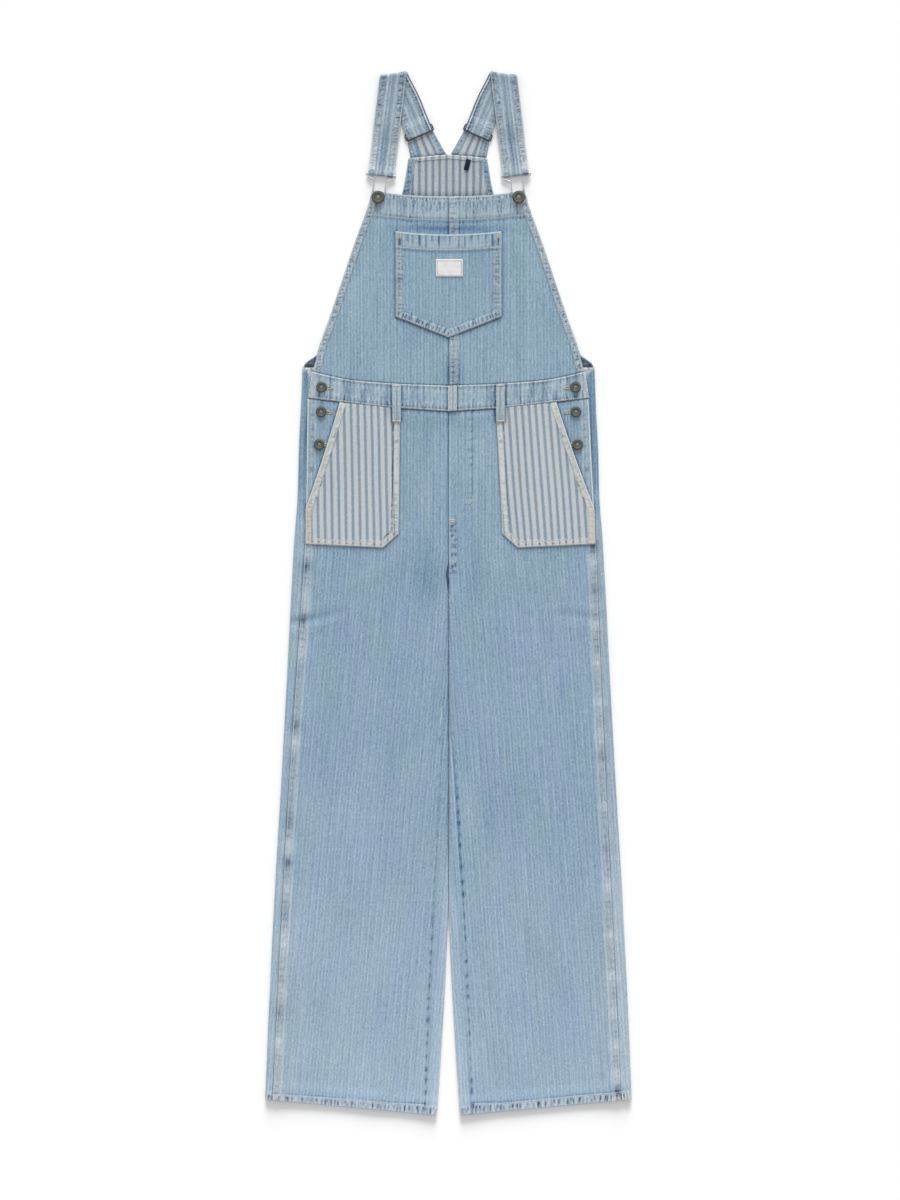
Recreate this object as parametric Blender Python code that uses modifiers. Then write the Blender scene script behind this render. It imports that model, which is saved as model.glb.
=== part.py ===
"""Denim dungarees lying flat on their back, front upwards.

The garment's head end points to +Y, its front to +Z, and the wearer's right side lies at -X.
It rests on its leg backs and back bib at z = 0. Sizes below are in millimetres and degrees, and
MM turns them into Blender's metres where a mesh is made. Both halves share one cut: a position
across the garment is its distance from the centre line, and `side` (-1 right, +1 left) puts it
in place.
"""

import math

import bmesh
import bpy
import numpy as np
from mathutils import Vector

MM = 0.001
SIDES = (("right", -1), ("left", 1))

# ---------------------------------------------------------------- cloth and seams

CLOTH = 1.2              # one layer of denim
SEAM_GAP = 0.3           # between pieces that are sewn edge to edge
LAYER_GAP = 0.4          # between a panel and what lies on it
DOUBLED = 2.4            # turned hems, the waistband and the bib's faced top edge
HEM_DEPTH = 15.0

# ---------------------------------------------------------------- outline of the legs and seat

CROTCH_Y = 21.0
WAIST_CENTRE_TOP = 301.2

# distance from the centre line to the side fold, from the waist down to the hem
SIDE_FOLD = (
    # y, side fold
    (328.7, 211.5),
    (280.4, 213.2),
    (207.9, 216.8),
    (135.4, 219.0),
    (77.4, 223.5),
    (4.9, 227.7),
    (-82.1, 232.0),
    (-256.0, 241.4),
    (-430.0, 251.6),
    (-604.0, 260.3),
    (-757.0, 266.6),
)

# distance from the centre line to the legs' inner folds
INNER_FOLD = (
    # y, inner fold
    (21.0, 0.5),
    (-440.0, 0.6),
    (-517.0, 2.2),
    (-604.0, 6.5),
    (-691.0, 11.8),
    (-757.0, 16.9),
)

# the outseam lies on the front, a little inside the side fold, and opens above the hip pocket
OUTSEAM = (
    # y, outseam
    (284.0, 204.0),
    (135.4, 208.8),
    (68.0, 211.7),
    (-82.1, 219.5),
    (-330.0, 233.2),
    (-690.0, 251.2),
    (-757.0, 254.1),
)

# the garment lies a little askew: its outseams and hip pockets are shifted towards its left side
SWAY = (
    # y, shift
    (284.0, -0.8),
    (140.0, 1.8),
    (68.0, 2.8),
    (-82.0, 0.7),
    (-330.0, -1.8),
    (-757.0, -2.4),
)

# the inseam creeps round the inner fold: half turns of the fold, then flat on the front
INSEAM = (
    # y, share of the fold's half turn, flat width past the fold
    (21.0, 0.5, 0.0),
    (-30.0, 0.8, 0.0),
    (-80.0, 1.0, 0.8),
    (-200.0, 1.0, 5.0),
    (-390.0, 1.0, 15.5),
    (-480.0, 1.0, 19.5),
    (-620.0, 1.0, 19.0),
    (-757.0, 1.0, 15.0),
)

HEM_OUTER_Y = -733.8     # hem line at the side fold
HEM_INNER_Y = -756.9     # hem line at the inner fold
HEM_SPAN = (17.0, 266.0)

# the side opening: the leg back runs on as an underlap below the front's edge
UNDERLAP = 32.0
UNDERLAP_START_Y = 132.0
LAP_START_Y = 96.0       # from here up the leg back sinks below the front's edge
LAP_FULL_Y = 120.0
SIDE_TOP_Y = 328.7       # top of the leg back at the side fold
BACK_WAIST_Y = 322.0     # top of the leg back at the centre
UNDERLAP_TOP_SLOPE = 0.45

# ---------------------------------------------------------------- heights of the front layer

FLAT_HEIGHT = 1.9        # underside of the front where it lies on the back
SEAT_HEIGHT = 2.3        # the same over the seat and the underlap
SIDE_HEIGHT = 4.8        # the same at the side folds
INNER_HEIGHT = 4.2       # the same at the inner folds of the lower legs
CROTCH_HEIGHT = 3.6
SIDE_REACH = 45.0
INNER_REACH = 30.0
HEM_LIFT = 1.0
SIDE_FADE_Y = (322.0, 372.0)
OVERHANG_DROP = 1.4      # the bib's sides sink where no back bib lies below them

# low waves that the cloth keeps after it is laid down
WAVES = (
    # height, length across, length along, phase
    (0.35, 185.0, 640.0, 0.4),
    (0.25, 120.0, -410.0, 2.1),
    (0.15, 74.0, 260.0, 4.4),
)


def smooth(low, high, value):
    """Eased step from 0 at low to 1 at high."""
    share = min(1.0, max(0.0, (value - low) / (high - low)))
    return share * share * (3.0 - 2.0 * share)


def read(table, at, column=1):
    """Value of one column of a table at a position, along a smooth curve through its rows."""
    rows = sorted(table)
    keys = np.array([row[0] for row in rows])
    values = np.array([row[column] for row in rows])
    steps = np.diff(values) / np.diff(keys)
    slopes = np.concatenate((steps[:1], 0.5 * (steps[:-1] + steps[1:]), steps[-1:]))
    slopes[1:-1][steps[:-1] * steps[1:] <= 0.0] = 0.0
    flattest = np.minimum(np.abs(np.append(steps, steps[-1])), np.abs(np.insert(steps, 0, steps[0])))
    slopes = np.sign(slopes) * np.minimum(np.abs(slopes), 3.0 * flattest)
    at = min(keys[-1], max(keys[0], at))
    i = min(len(keys) - 2, int(np.searchsorted(keys, at, side="right")) - 1)
    span = keys[i + 1] - keys[i]
    s = (at - keys[i]) / span
    return float(
        (1 + 2 * s) * (1 - s) ** 2 * values[i]
        + s * (1 - s) ** 2 * span * slopes[i]
        + s * s * (3 - 2 * s) * values[i + 1]
        + s * s * (s - 1) * span * slopes[i + 1]
    )


def outseam(side, y):
    """Distance of a leg's outseam from the centre line."""
    return read(OUTSEAM, y) + side * read(SWAY, y)


def hem_line(across):
    """The hem rises from the inner fold to the side fold."""
    inner, outer = HEM_SPAN
    return HEM_INNER_Y + (HEM_OUTER_Y - HEM_INNER_Y) * (across - inner) / (outer - inner)


def waves(x, y):
    """Height of the low waves, never below zero."""
    total = 0.0
    for height, length_x, length_y, phase in WAVES:
        total += height * (1.0 + math.sin(2 * math.pi * (x / length_x + y / length_y) + phase))
    return total


def front_height(x, y):
    """Height of the front layer's underside above the ground."""
    across = abs(x)
    middle = FLAT_HEIGHT + (SEAT_HEIGHT - FLAT_HEIGHT) * smooth(-60.0, 60.0, y)
    middle -= (SEAT_HEIGHT - FLAT_HEIGHT) * smooth(*SIDE_FADE_Y, y)
    height = middle + 0.6 * waves(x, y)
    from_fold = read(SIDE_FOLD, y) - across
    side = (SIDE_HEIGHT - middle) * (1.0 - smooth(*SIDE_FADE_Y, y))
    share = math.exp(-((from_fold / SIDE_REACH) ** 2))
    height += side * share - 0.6 * waves(x, y) * share
    if y < CROTCH_Y + 60.0:
        from_inner = across - read(INNER_FOLD, y)
        grown = smooth(CROTCH_Y, -160.0, y)
        inner = CROTCH_HEIGHT + (INNER_HEIGHT - CROTCH_HEIGHT) * grown
        inner_share = math.exp(-((from_inner / INNER_REACH) ** 2)) * smooth(CROTCH_Y + 60.0, CROTCH_Y, y)
        height += (inner - height) * inner_share
    height += HEM_LIFT * smooth(HEM_DEPTH + 20.0, HEM_DEPTH + 4.0, y - hem_line(across))
    if y > SIDE_FADE_Y[0]:
        past = across - back_bib_half(y) - 6.0
        height -= OVERHANG_DROP * smooth(0.0, 24.0, past) * smooth(*SIDE_FADE_Y, y)
    return height


# ---------------------------------------------------------------- mesh helpers

def start_scene():
    """Empty the scene and make the collection that holds the garment."""
    for item in list(bpy.data.objects):
        bpy.data.objects.remove(item, do_unlink=True)
    collection = bpy.data.collections.new("denim_dungarees")
    bpy.context.scene.collection.children.link(collection)
    return collection


def make_material(name, color, roughness, metallic=0.0):
    """Plain Principled material."""
    material = bpy.data.materials.new(name)
    material.use_nodes = True
    shader = material.node_tree.nodes["Principled BSDF"]
    shader.inputs["Base Color"].default_value = (*color, 1.0)
    shader.inputs["Roughness"].default_value = roughness
    shader.inputs["Metallic"].default_value = metallic
    return material


def add_object(name, mesh, material):
    """Object of a mesh, in the garment's collection."""
    item = bpy.data.objects.new(name, mesh)
    garment.objects.link(item)
    mesh.materials.append(material)
    return item


def cloth(name, surface, columns, rows, material, outward, thickness=CLOTH, thick_rows=()):
    """Wall of cloth on a grid whose points surface(column, row) gives.

    The points lie on the wall's outer face, which looks along +Z (outward = 1) or -Z (-1), and
    Solidify grows the wall inwards. Rows named in thick_rows are twice as thick.
    """
    grid = bmesh.new()
    bmesh.ops.create_grid(grid, x_segments=columns, y_segments=rows, size=1.0)
    row_of = []
    for vert in grid.verts:
        column = round((vert.co.x + 1.0) * 0.5 * columns)
        row = round((vert.co.y + 1.0) * 0.5 * rows)
        row_of.append(row)
        vert.co = Vector(surface(column, row)) * MM
    facing = sum(face.calc_area() * face.normal.z for face in updated(grid).faces)
    if facing * outward < 0.0:
        bmesh.ops.reverse_faces(grid, faces=grid.faces)
    mesh = bpy.data.meshes.new(name)
    grid.to_mesh(mesh)
    grid.free()
    item = add_object(name, mesh, material)
    wall = item.modifiers.new("wall", "SOLIDIFY")
    wall.thickness = thickness * MM
    wall.offset = -1.0
    wall.use_even_offset = True
    if thick_rows:
        weights = item.vertex_groups.new(name="doubled")
        weights.add([i for i, row in enumerate(row_of) if row in thick_rows], 1.0, "REPLACE")
        wall.vertex_group = weights.name
        wall.thickness = 2.0 * thickness * MM
        wall.thickness_vertex_group = 0.5
    return item


def updated(grid):
    """The same bmesh with its face normals worked out."""
    grid.normal_update()
    return grid


def turned(name, profile, place, material, steps=16):
    """Turned piece: a profile (radius, height) that runs down its outer side, on a vertical axis."""
    mesh = bpy.data.meshes.new(name)
    points = [(radius * MM, 0.0, height * MM) for radius, height in profile]
    mesh.from_pydata(points, [(i, i + 1) for i in range(len(points) - 1)], [])
    item = add_object(name, mesh, material)
    item.location = Vector(place) * MM
    screw = item.modifiers.new("turn", "SCREW")
    screw.steps = steps
    screw.render_steps = steps
    screw.use_merge_vertices = True
    screw.merge_threshold = 0.00001
    return item


def wire(name, points, radius, material, closed=True, sides=2):
    """Round wire along a path of points."""
    curve = bpy.data.curves.new(name, "CURVE")
    curve.dimensions = "3D"
    curve.bevel_depth = radius * MM
    curve.bevel_resolution = sides
    curve.use_fill_caps = not closed
    spline = curve.splines.new("POLY")
    spline.points.add(len(points) - 1)
    for knot, point in zip(spline.points, points):
        knot.co = (*(Vector(point) * MM), 1.0)
    spline.use_cyclic_u = closed
    curve.materials.append(material)
    item = bpy.data.objects.new(name, curve)
    garment.objects.link(item)
    return item


# ---------------------------------------------------------------- legs

# levels of the cross-sections, from the hem up: along the hem line, across, or along the top edge
LEG_LEVELS = (
    [("hem", 0.0), ("hem", HEM_DEPTH), ("hem", HEM_DEPTH + 2.0)]
    + [("across", y) for y in (-660.0, -560.0, -450.0, -340.0, -230.0, -130.0, -60.0, -20.0)]
    + [("across", y) for y in (14.0, 22.0, 60.0, 96.0, 120.0, 130.0, 140.0, 190.0, 240.0)]
    + [("top", 0.0)]
)
HEM_ROWS = (0, 1)
FIRST_SEAT_ROW = 12      # first level above the crotch

FOLD_STEPS = 5           # steps of a half turn
INNER_STEPS = 6
BEND_CLEARANCE = 0.7
FLAT_STEPS = 7
STRIP_STEPS = 3
FRONT_FLAT = (0.0, 0.06, 0.15, 0.27, 0.42, 0.57, 0.71, 0.82, 0.91, 1.0)
FRONT_INNER_STEPS = 4


def level_y(level, across, top_edge):
    """Position along the garment of a level at a distance from the centre line."""
    kind, value = level
    if kind == "hem":
        return hem_line(across) + value
    if kind == "top":
        return top_edge(across)
    return value


def wall_at(row):
    """Thickness of the leg's cloth at a level."""
    return DOUBLED if row in HEM_ROWS else CLOTH


def lap(y):
    """How far the leg back has sunk below the front's edge: 0 below the opening, 1 along it."""
    return smooth(LAP_START_Y, LAP_FULL_Y, y)


def strip_height(side, across, y, wall):
    """Outer face of the leg back where it lies on the front."""
    level = front_height(side * across, y)
    return level + wall * (1.0 - lap(y)) - SEAM_GAP * lap(y)


def side_turn(side, distance, y, wall):
    """Point (across, height) on the side fold, at a distance round it from the ground."""
    edge = read(SIDE_FOLD, y)
    radius = 0.5 * strip_height(side, edge - 3.0, y, wall)
    half_turn = math.pi * radius
    if distance <= half_turn:
        angle = distance / radius
        return edge - radius + radius * math.sin(angle), radius - radius * math.cos(angle)
    across = edge - radius - (distance - half_turn)
    return across, strip_height(side, across, y, wall)


def inner_turn(side, distance, y, wall, depth=0.0):
    """Point (across, height) on the inner fold of a leg, `depth` inside its outer face."""
    edge = read(INNER_FOLD, y)
    radius = 0.5 * (front_height(side * (edge + 2.0), y) + wall)
    half_turn = math.pi * radius
    if distance <= half_turn:
        angle = distance / radius
        reach = radius - depth
        return edge + radius - reach * math.sin(angle), radius - reach * math.cos(angle)
    across = edge + radius + (distance - half_turn)
    return across, front_height(side * across, y) + wall - depth


def inseam_clearance(y):
    """Half the gap at the inseam, wider where the seam lies on the fold's tight bend."""
    return SEAM_GAP / 2 + BEND_CLEARANCE * smooth(-90.0, -60.0, y)


def inseam_distance(side, y, wall):
    """Distance of the inseam round the inner fold, from the ground."""
    edge = read(INNER_FOLD, y)
    radius = 0.5 * (front_height(side * (edge + 2.0), y) + wall)
    return math.pi * radius * read(INSEAM, y, 1) + read(INSEAM, y, 2)


def back_top_edge(across):
    """Top of the leg back, below the waistband and up to the side fold."""
    edge = read(SIDE_FOLD, SIDE_TOP_Y)
    return BACK_WAIST_Y + (SIDE_TOP_Y - BACK_WAIST_Y) * (across / edge) ** 2


def underlap_top_edge(across):
    """Top of the leg back where it has come round onto the front."""
    return SIDE_TOP_Y - UNDERLAP_TOP_SLOPE * (read(SIDE_FOLD, SIDE_TOP_Y) - across)


def make_back(name, side, material):
    """Leg back: from the inseam or centre seam, across the ground, round to the outseam."""
    seam = SEAM_GAP / 2

    def surface(column, row):
        level = LEG_LEVELS[row]
        wall = wall_at(row)
        flat_y = level_y(level, 120.0, back_top_edge)
        if row < FIRST_SEAT_ROW:
            reach = inseam_distance(side, flat_y, wall) - inseam_clearance(flat_y)
            start, start_height = inner_turn(side, 0.0, flat_y, wall)
        else:
            reach = 4.0
            start, start_height = seam + reach, 0.0
        if column < INNER_STEPS:
            distance = reach * (1.0 - column / INNER_STEPS)
            if row < FIRST_SEAT_ROW:
                across, height = inner_turn(side, distance, flat_y, wall)
            else:
                across, height = start - distance, start_height
            return side * across, level_y(level, across, back_top_edge), height
        column -= INNER_STEPS
        end_y = level_y(level, 230.0, back_top_edge)
        end = side_turn(side, 0.0, end_y, wall)[0]
        if column < FLAT_STEPS:
            across = start + (end - start) * column / FLAT_STEPS
            return side * across, level_y(level, across, back_top_edge), 0.0
        column -= FLAT_STEPS
        radius = 0.5 * strip_height(side, read(SIDE_FOLD, end_y) - 3.0, end_y, wall)
        half_turn = math.pi * radius
        if column <= FOLD_STEPS:
            distance = half_turn * column / FOLD_STEPS
            across, height = side_turn(side, distance, end_y, wall)
            return side * across, level_y(level, across, back_top_edge), height
        column -= FOLD_STEPS
        opened = smooth(UNDERLAP_START_Y, UNDERLAP_START_Y + 8.0, end_y)
        strip_end = outseam(side, end_y) + seam - (UNDERLAP + seam) * opened
        strip_start = read(SIDE_FOLD, end_y) - radius
        across = strip_start + (strip_end - strip_start) * column / STRIP_STEPS
        y = level_y(level, across, underlap_top_edge)
        return side * across, y, strip_height(side, across, y, wall)

    columns = INNER_STEPS + FLAT_STEPS + FOLD_STEPS + STRIP_STEPS
    cloth(name, surface, columns, len(LEG_LEVELS) - 1, material, -1, thick_rows=HEM_ROWS)


def make_front(name, side, material):
    """Leg front: from the inseam or centre front seam across to the outseam."""
    seam = SEAM_GAP / 2

    def front_top_edge(across):
        return read(WAIST_EDGES, across, 2) - SEAM_GAP

    def surface(column, row):
        level = LEG_LEVELS[row]
        wall = wall_at(row)
        y = level_y(level, 60.0, front_top_edge)
        if row < FIRST_SEAT_ROW:
            distance = inseam_distance(side, y, wall) + inseam_clearance(y)
            half_turn = math.pi * 0.5 * (front_height(side * (read(INNER_FOLD, y) + 2.0), y) + wall)
            reach = max(half_turn, distance) + 1.5
            start = inner_turn(side, reach, y, wall)[0]
        else:
            reach = distance = 0.0
            start = seam + 4.0
        if column < FRONT_INNER_STEPS:
            share = column / FRONT_INNER_STEPS
            if row < FIRST_SEAT_ROW:
                across, height = inner_turn(side, distance + (reach - distance) * share, y, wall)
                return side * across, level_y(level, across, front_top_edge), height
            across = seam + (start - seam) * share
        else:
            end_y = level_y(level, 200.0, front_top_edge)
            end = outseam(side, end_y) - seam
            across = start + (end - start) * FRONT_FLAT[column - FRONT_INNER_STEPS]
        y = level_y(level, across, front_top_edge)
        return side * across, y, front_height(side * across, y) + wall

    columns = FRONT_INNER_STEPS + len(FRONT_FLAT) - 1
    cloth(name, surface, columns, len(LEG_LEVELS) - 1, material, 1, thick_rows=HEM_ROWS)


# ---------------------------------------------------------------- waistband and bibs

WAIST_EDGES = (
    # distance from the centre line, top edge, bottom edge
    (0.0, 301.2, 263.8),
    (82.0, 304.6, 269.4),
    (150.0, 310.9, 276.9),
    (204.0, 322.9, 283.2),
)
WAIST_END_TOP = 197.8    # the waistband's ends slope with the bib's sides
WAIST_END_BOTTOM = 204.0
WAIST_COLUMNS = 20

BIB_SIDE = (
    # y, half width of the front bib
    (321.0, 197.6),
    (333.0, 193.6),
    (353.0, 189.2),
    (396.4, 174.0),
    (454.4, 154.4),
    (512.4, 134.9),
    (555.9, 118.9),
    (586.0, 110.3),
)
BIB_TOP_CENTRE = 575.8
BIB_TOP_RISE = 9.8       # the bib's top corners stand above its middle
BIB_ROWS = (0.0, 0.09, 0.22, 0.37, 0.52, 0.67, 0.8, 0.87, 0.88, 1.0)
BIB_FACED_ROWS = (8, 9)
BIB_COLUMNS = 9

BACK_BIB_SIDE = (
    # y, half width of the back bib
    (322.0, 207.5),
    (329.0, 206.0),
    (345.7, 190.5),
    (396.4, 150.0),
    (483.4, 99.0),
    (582.0, 66.0),
    (634.0, 56.6),
)
BACK_BIB_PEAK = 637.2
BACK_BIB_CORNER = 632.0
BACK_BIB_ROWS = 13
BACK_BIB_COLUMNS = 10


def back_bib_half(y):
    return read(BACK_BIB_SIDE, y)


def make_waistband(material):
    """One doubled strip over both leg fronts, from side opening to side opening."""
    def surface(column, row):
        share = 2.0 * column / WAIST_COLUMNS - 1.0
        up = row / 2
        end = WAIST_END_BOTTOM + (WAIST_END_TOP - WAIST_END_BOTTOM) * up
        x = end * share
        bottom = read(WAIST_EDGES, abs(x), 2)
        y = bottom + (read(WAIST_EDGES, abs(x), 1) - bottom) * up
        return x, y, front_height(x, y) + DOUBLED

    cloth("waistband", surface, WAIST_COLUMNS, 2, material, 1, thickness=DOUBLED)


def bib_point(side, inward, up, top=CLOTH):
    """Point of the bib: inward 0 at the centre seam to 1 at the side, up 0 at the waistband to 1."""
    y = WAIST_CENTRE_TOP + (BIB_TOP_CENTRE - WAIST_CENTRE_TOP) * up
    for _ in range(3):
        across = SEAM_GAP / 2 + (read(BIB_SIDE, y) - SEAM_GAP / 2) * inward
        low = read(WAIST_EDGES, across, 1) + SEAM_GAP
        high = BIB_TOP_CENTRE + BIB_TOP_RISE * (across / read(BIB_SIDE, BIB_TOP_CENTRE)) ** 2.6
        y = low + (high - low) * up
    x = side * across
    return x, y, front_height(x, y) + top


def make_bib(name, side, material):
    """Half of the front bib, thicker along its faced top edge."""
    def surface(column, row):
        up = BIB_ROWS[row]
        wall = DOUBLED if row in BIB_FACED_ROWS else CLOTH
        return bib_point(side, column / BIB_COLUMNS, up, wall)

    rows = len(BIB_ROWS) - 1
    cloth(name, surface, BIB_COLUMNS, rows, material, 1, thick_rows=BIB_FACED_ROWS)


def make_back_bib(material):
    """Back bib, flat on the ground, narrowing from the waist to the strap ends."""
    def surface(column, row):
        share = 2.0 * column / BACK_BIB_COLUMNS - 1.0
        up = row / BACK_BIB_ROWS
        y = BACK_WAIST_Y + (BACK_BIB_PEAK - BACK_WAIST_Y) * up
        for _ in range(3):
            across = back_bib_half(y) * abs(share)
            low = back_top_edge(across) + SEAM_GAP
            high = BACK_BIB_PEAK - (BACK_BIB_PEAK - BACK_BIB_CORNER) * abs(share)
            y = low + (high - low) * up
        return math.copysign(across, share), y, 0.0

    cloth("back_bib", surface, BACK_BIB_COLUMNS, BACK_BIB_ROWS, material, -1)


# ---------------------------------------------------------------- pockets, loops and small pieces

BIB_POCKET_HALF = 77.0
BIB_POCKET_TOP = (520.3, 525.0)      # at the centre, at the corners
BIB_POCKET_FOOT = (370.8, 401.1)     # at the point, at the corners
HIP_POCKET = (
    # inner edge x, inner edge y, outer edge x, outer edge y
    (97.6, 66.0, 210.2, 71.2),
    (75.0, 86.4, 210.0, 96.0),
    (74.6, 108.0, 209.6, 120.8),
    (73.6, 132.0, 204.3, 136.6),
    (72.0, 176.0, 188.0, 182.0),
    (70.6, 221.0, 172.7, 227.0),
    (69.2, 265.0, 157.4, 272.0),
)
HIP_POCKET_COLUMNS = 8
LABEL_SIZE = (39.0, 25.0)
LABEL_PLACE = (1.2, 471.8)
LOOP_WIDTH = 12.8
LOOP_AT = 75.2
LOOP_ENDS = (248.5, 302.2)
LOOP_CLOTH = 1.8
LOOP_ARCH = 1.0
CENTRE_LOOP = (-0.7, 12.3)
TAB_SIZE = (7.0, 16.0)
TAB_PLACE = (27.3, 621.9)
TAB_TURN = -15.0


def waist_top(x, y):
    """Outer face of the front where pieces lie on it: leg front, waistband or bib."""
    across = abs(x)
    inside = read(WAIST_EDGES, across, 2) < y < read(WAIST_EDGES, across, 1)
    return front_height(x, y) + (DOUBLED if inside else CLOTH)


def hip_pocket_height(x, y):
    """Outer face of the hip pocket, one layer above the leg front."""
    return front_height(x, y) + 2 * CLOTH + LAYER_GAP


def make_bib_pocket(material):
    """Patch pocket with a pointed foot, moved out from the bib."""
    def surface(column, row):
        share = 2.0 * column / 10 - 1.0
        x = BIB_POCKET_HALF * share
        foot, foot_corner = BIB_POCKET_FOOT
        head, head_corner = BIB_POCKET_TOP
        low = foot + (foot_corner - foot) * abs(share)
        high = head + (head_corner - head) * share * share
        y = low + (high - low) * row / 7
        return x, y, front_height(x, y) + 2 * CLOTH + LAYER_GAP

    cloth("bib_pocket", surface, 10, 7, material, 1)


def make_hip_pocket(name, side, material):
    """Patch pocket whose slanted edge is its opening, moved out from the leg front."""
    def surface(column, row):
        inner_x, inner_y, outer_x, outer_y = HIP_POCKET[row]
        share = column / HIP_POCKET_COLUMNS
        y = inner_y + (outer_y - inner_y) * share
        across = inner_x + (outer_x - inner_x) * share + side * read(SWAY, y)
        return side * across, y, hip_pocket_height(side * across, y)

    cloth(name, surface, HIP_POCKET_COLUMNS, len(HIP_POCKET) - 1, material, 1)


def make_belt_loop(name, side, material):
    """Strip over the waistband, sewn down above it and on the hip pocket below it."""
    low, high = LOOP_ENDS

    def surface(column, row):
        x = side * LOOP_AT + LOOP_WIDTH * (column / 2 - 0.5)
        y = low + (high - low) * row / 8
        seat = max(waist_top(x, y), hip_pocket_height(x, y)) + LAYER_GAP
        arch = LOOP_ARCH * math.sin(math.pi * row / 8)
        return x, y, seat + LOOP_CLOTH + arch

    cloth(name, surface, 2, 8, material, 1, thickness=LOOP_CLOTH)


def make_centre_loop(material):
    """Short strip that covers the waistband over the centre front seam."""
    def surface(column, row):
        x = CENTRE_LOOP[0] + (CENTRE_LOOP[1] - CENTRE_LOOP[0]) * column / 2
        low = read(WAIST_EDGES, abs(x), 2) + 0.5
        high = read(WAIST_EDGES, abs(x), 1) - 0.5
        y = low + (high - low) * row / 4
        return x, y, front_height(x, y) + DOUBLED + LAYER_GAP + LOOP_CLOTH

    cloth("centre_loop", surface, 2, 4, material, 1, thickness=LOOP_CLOTH)


def make_patch(name, place, size, turn, height, wall, material):
    """Small rectangle of cloth on a face whose height(x, y) is given."""
    angle = math.radians(turn)

    def surface(column, row):
        across = size[0] * (column / 2 - 0.5)
        along = size[1] * (row / 2 - 0.5)
        x = place[0] + across * math.cos(angle) - along * math.sin(angle)
        y = place[1] + across * math.sin(angle) + along * math.cos(angle)
        return x, y, height(x, y) + LAYER_GAP + wall

    cloth(name, surface, 2, 2, material, 1, thickness=wall)


# ---------------------------------------------------------------- straps

STRAP_WIDTH = 38.0
STRAP_LEAN = 7.0         # of the front run from upright, downwards and outwards
FOLD_TILT = 8.2          # the shoulder fold is lower at its outer end
FOLD_PLACE = (79.8, 754.4)
FRONT_RUN = 147.8        # from the fold to the hook bar
BACK_RUN = 98.0          # from the fold to the slider's lower bar
FOLD_INNER = 2.1         # radius of the inner strap layer at the fold, to its middle
FOLD_OUTER = 3.6
FOLD_DEPTH = FOLD_OUTER + CLOTH / 2
BAR_RADIUS = 1.1
BAR_WRAP = BAR_RADIUS + SEAM_GAP + CLOTH / 2
HOOK_BAR_HEIGHT = 3.7
FRONT_LEVELS = (
    # distance from the fold, height of the middle between the two layers
    (4.2, 7.05),
    (22.0, 5.4),
    (74.0, 5.1),
    (106.0, 2.2),
    (125.0, 2.1),
    (147.8, 3.7),
)
LAYER_STEP = FOLD_OUTER - FOLD_INNER
SLIDER_RISE = 2.7        # the upper layer climbs over the slider
SLIDER_GAP = 12.0        # between the slider's two bars

lean, tilt = math.radians(STRAP_LEAN), math.radians(FOLD_TILT)
RUN = Vector((math.sin(lean), -math.cos(lean)))
ACROSS = Vector((math.cos(lean), math.sin(lean)))
FOLD_LINE = Vector((math.cos(tilt), -math.sin(tilt)))
FOLD_NORMAL = Vector((-math.sin(tilt), -math.cos(tilt)))
BACK_DIRECTION = RUN - 2.0 * RUN.dot(FOLD_LINE) * FOLD_LINE
BACK_ACROSS = 2.0 * ACROSS.dot(FOLD_LINE) * FOLD_LINE - ACROSS


def folded(distance, across, radius):
    """Point of the folded strap.

    `distance` is measured square to the fold line, positive on the front run and negative on the
    back run, and `across` over the strap's width. The strap is mirrored in the fold line and
    turns over it on a half circle of the given radius.
    """
    run = (distance - across * ACROSS.dot(FOLD_NORMAL)) / RUN.dot(FOLD_NORMAL)
    along_fold = run * RUN.dot(FOLD_LINE) + across * ACROSS.dot(FOLD_LINE)
    if abs(distance) < FOLD_DEPTH:
        angle = 0.5 * math.pi * distance / FOLD_DEPTH
        depth = FOLD_DEPTH - radius * math.cos(angle)
        height = FOLD_DEPTH + radius * math.sin(angle)
    else:
        depth = abs(distance)
        height = FOLD_DEPTH + math.copysign(radius, distance)
    flat = Vector(FOLD_PLACE) + FOLD_LINE * along_fold + FOLD_NORMAL * depth
    return flat, height


def front_level(distance, layer):
    """Height of a strap layer on the front run: layer +1 is the upper one, -1 the lower."""
    spread = LAYER_STEP + (2.0 * BAR_WRAP - LAYER_STEP) * smooth(FRONT_RUN - 16.0, FRONT_RUN, distance)
    return read(FRONT_LEVELS, distance) + layer * 0.5 * spread


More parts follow.
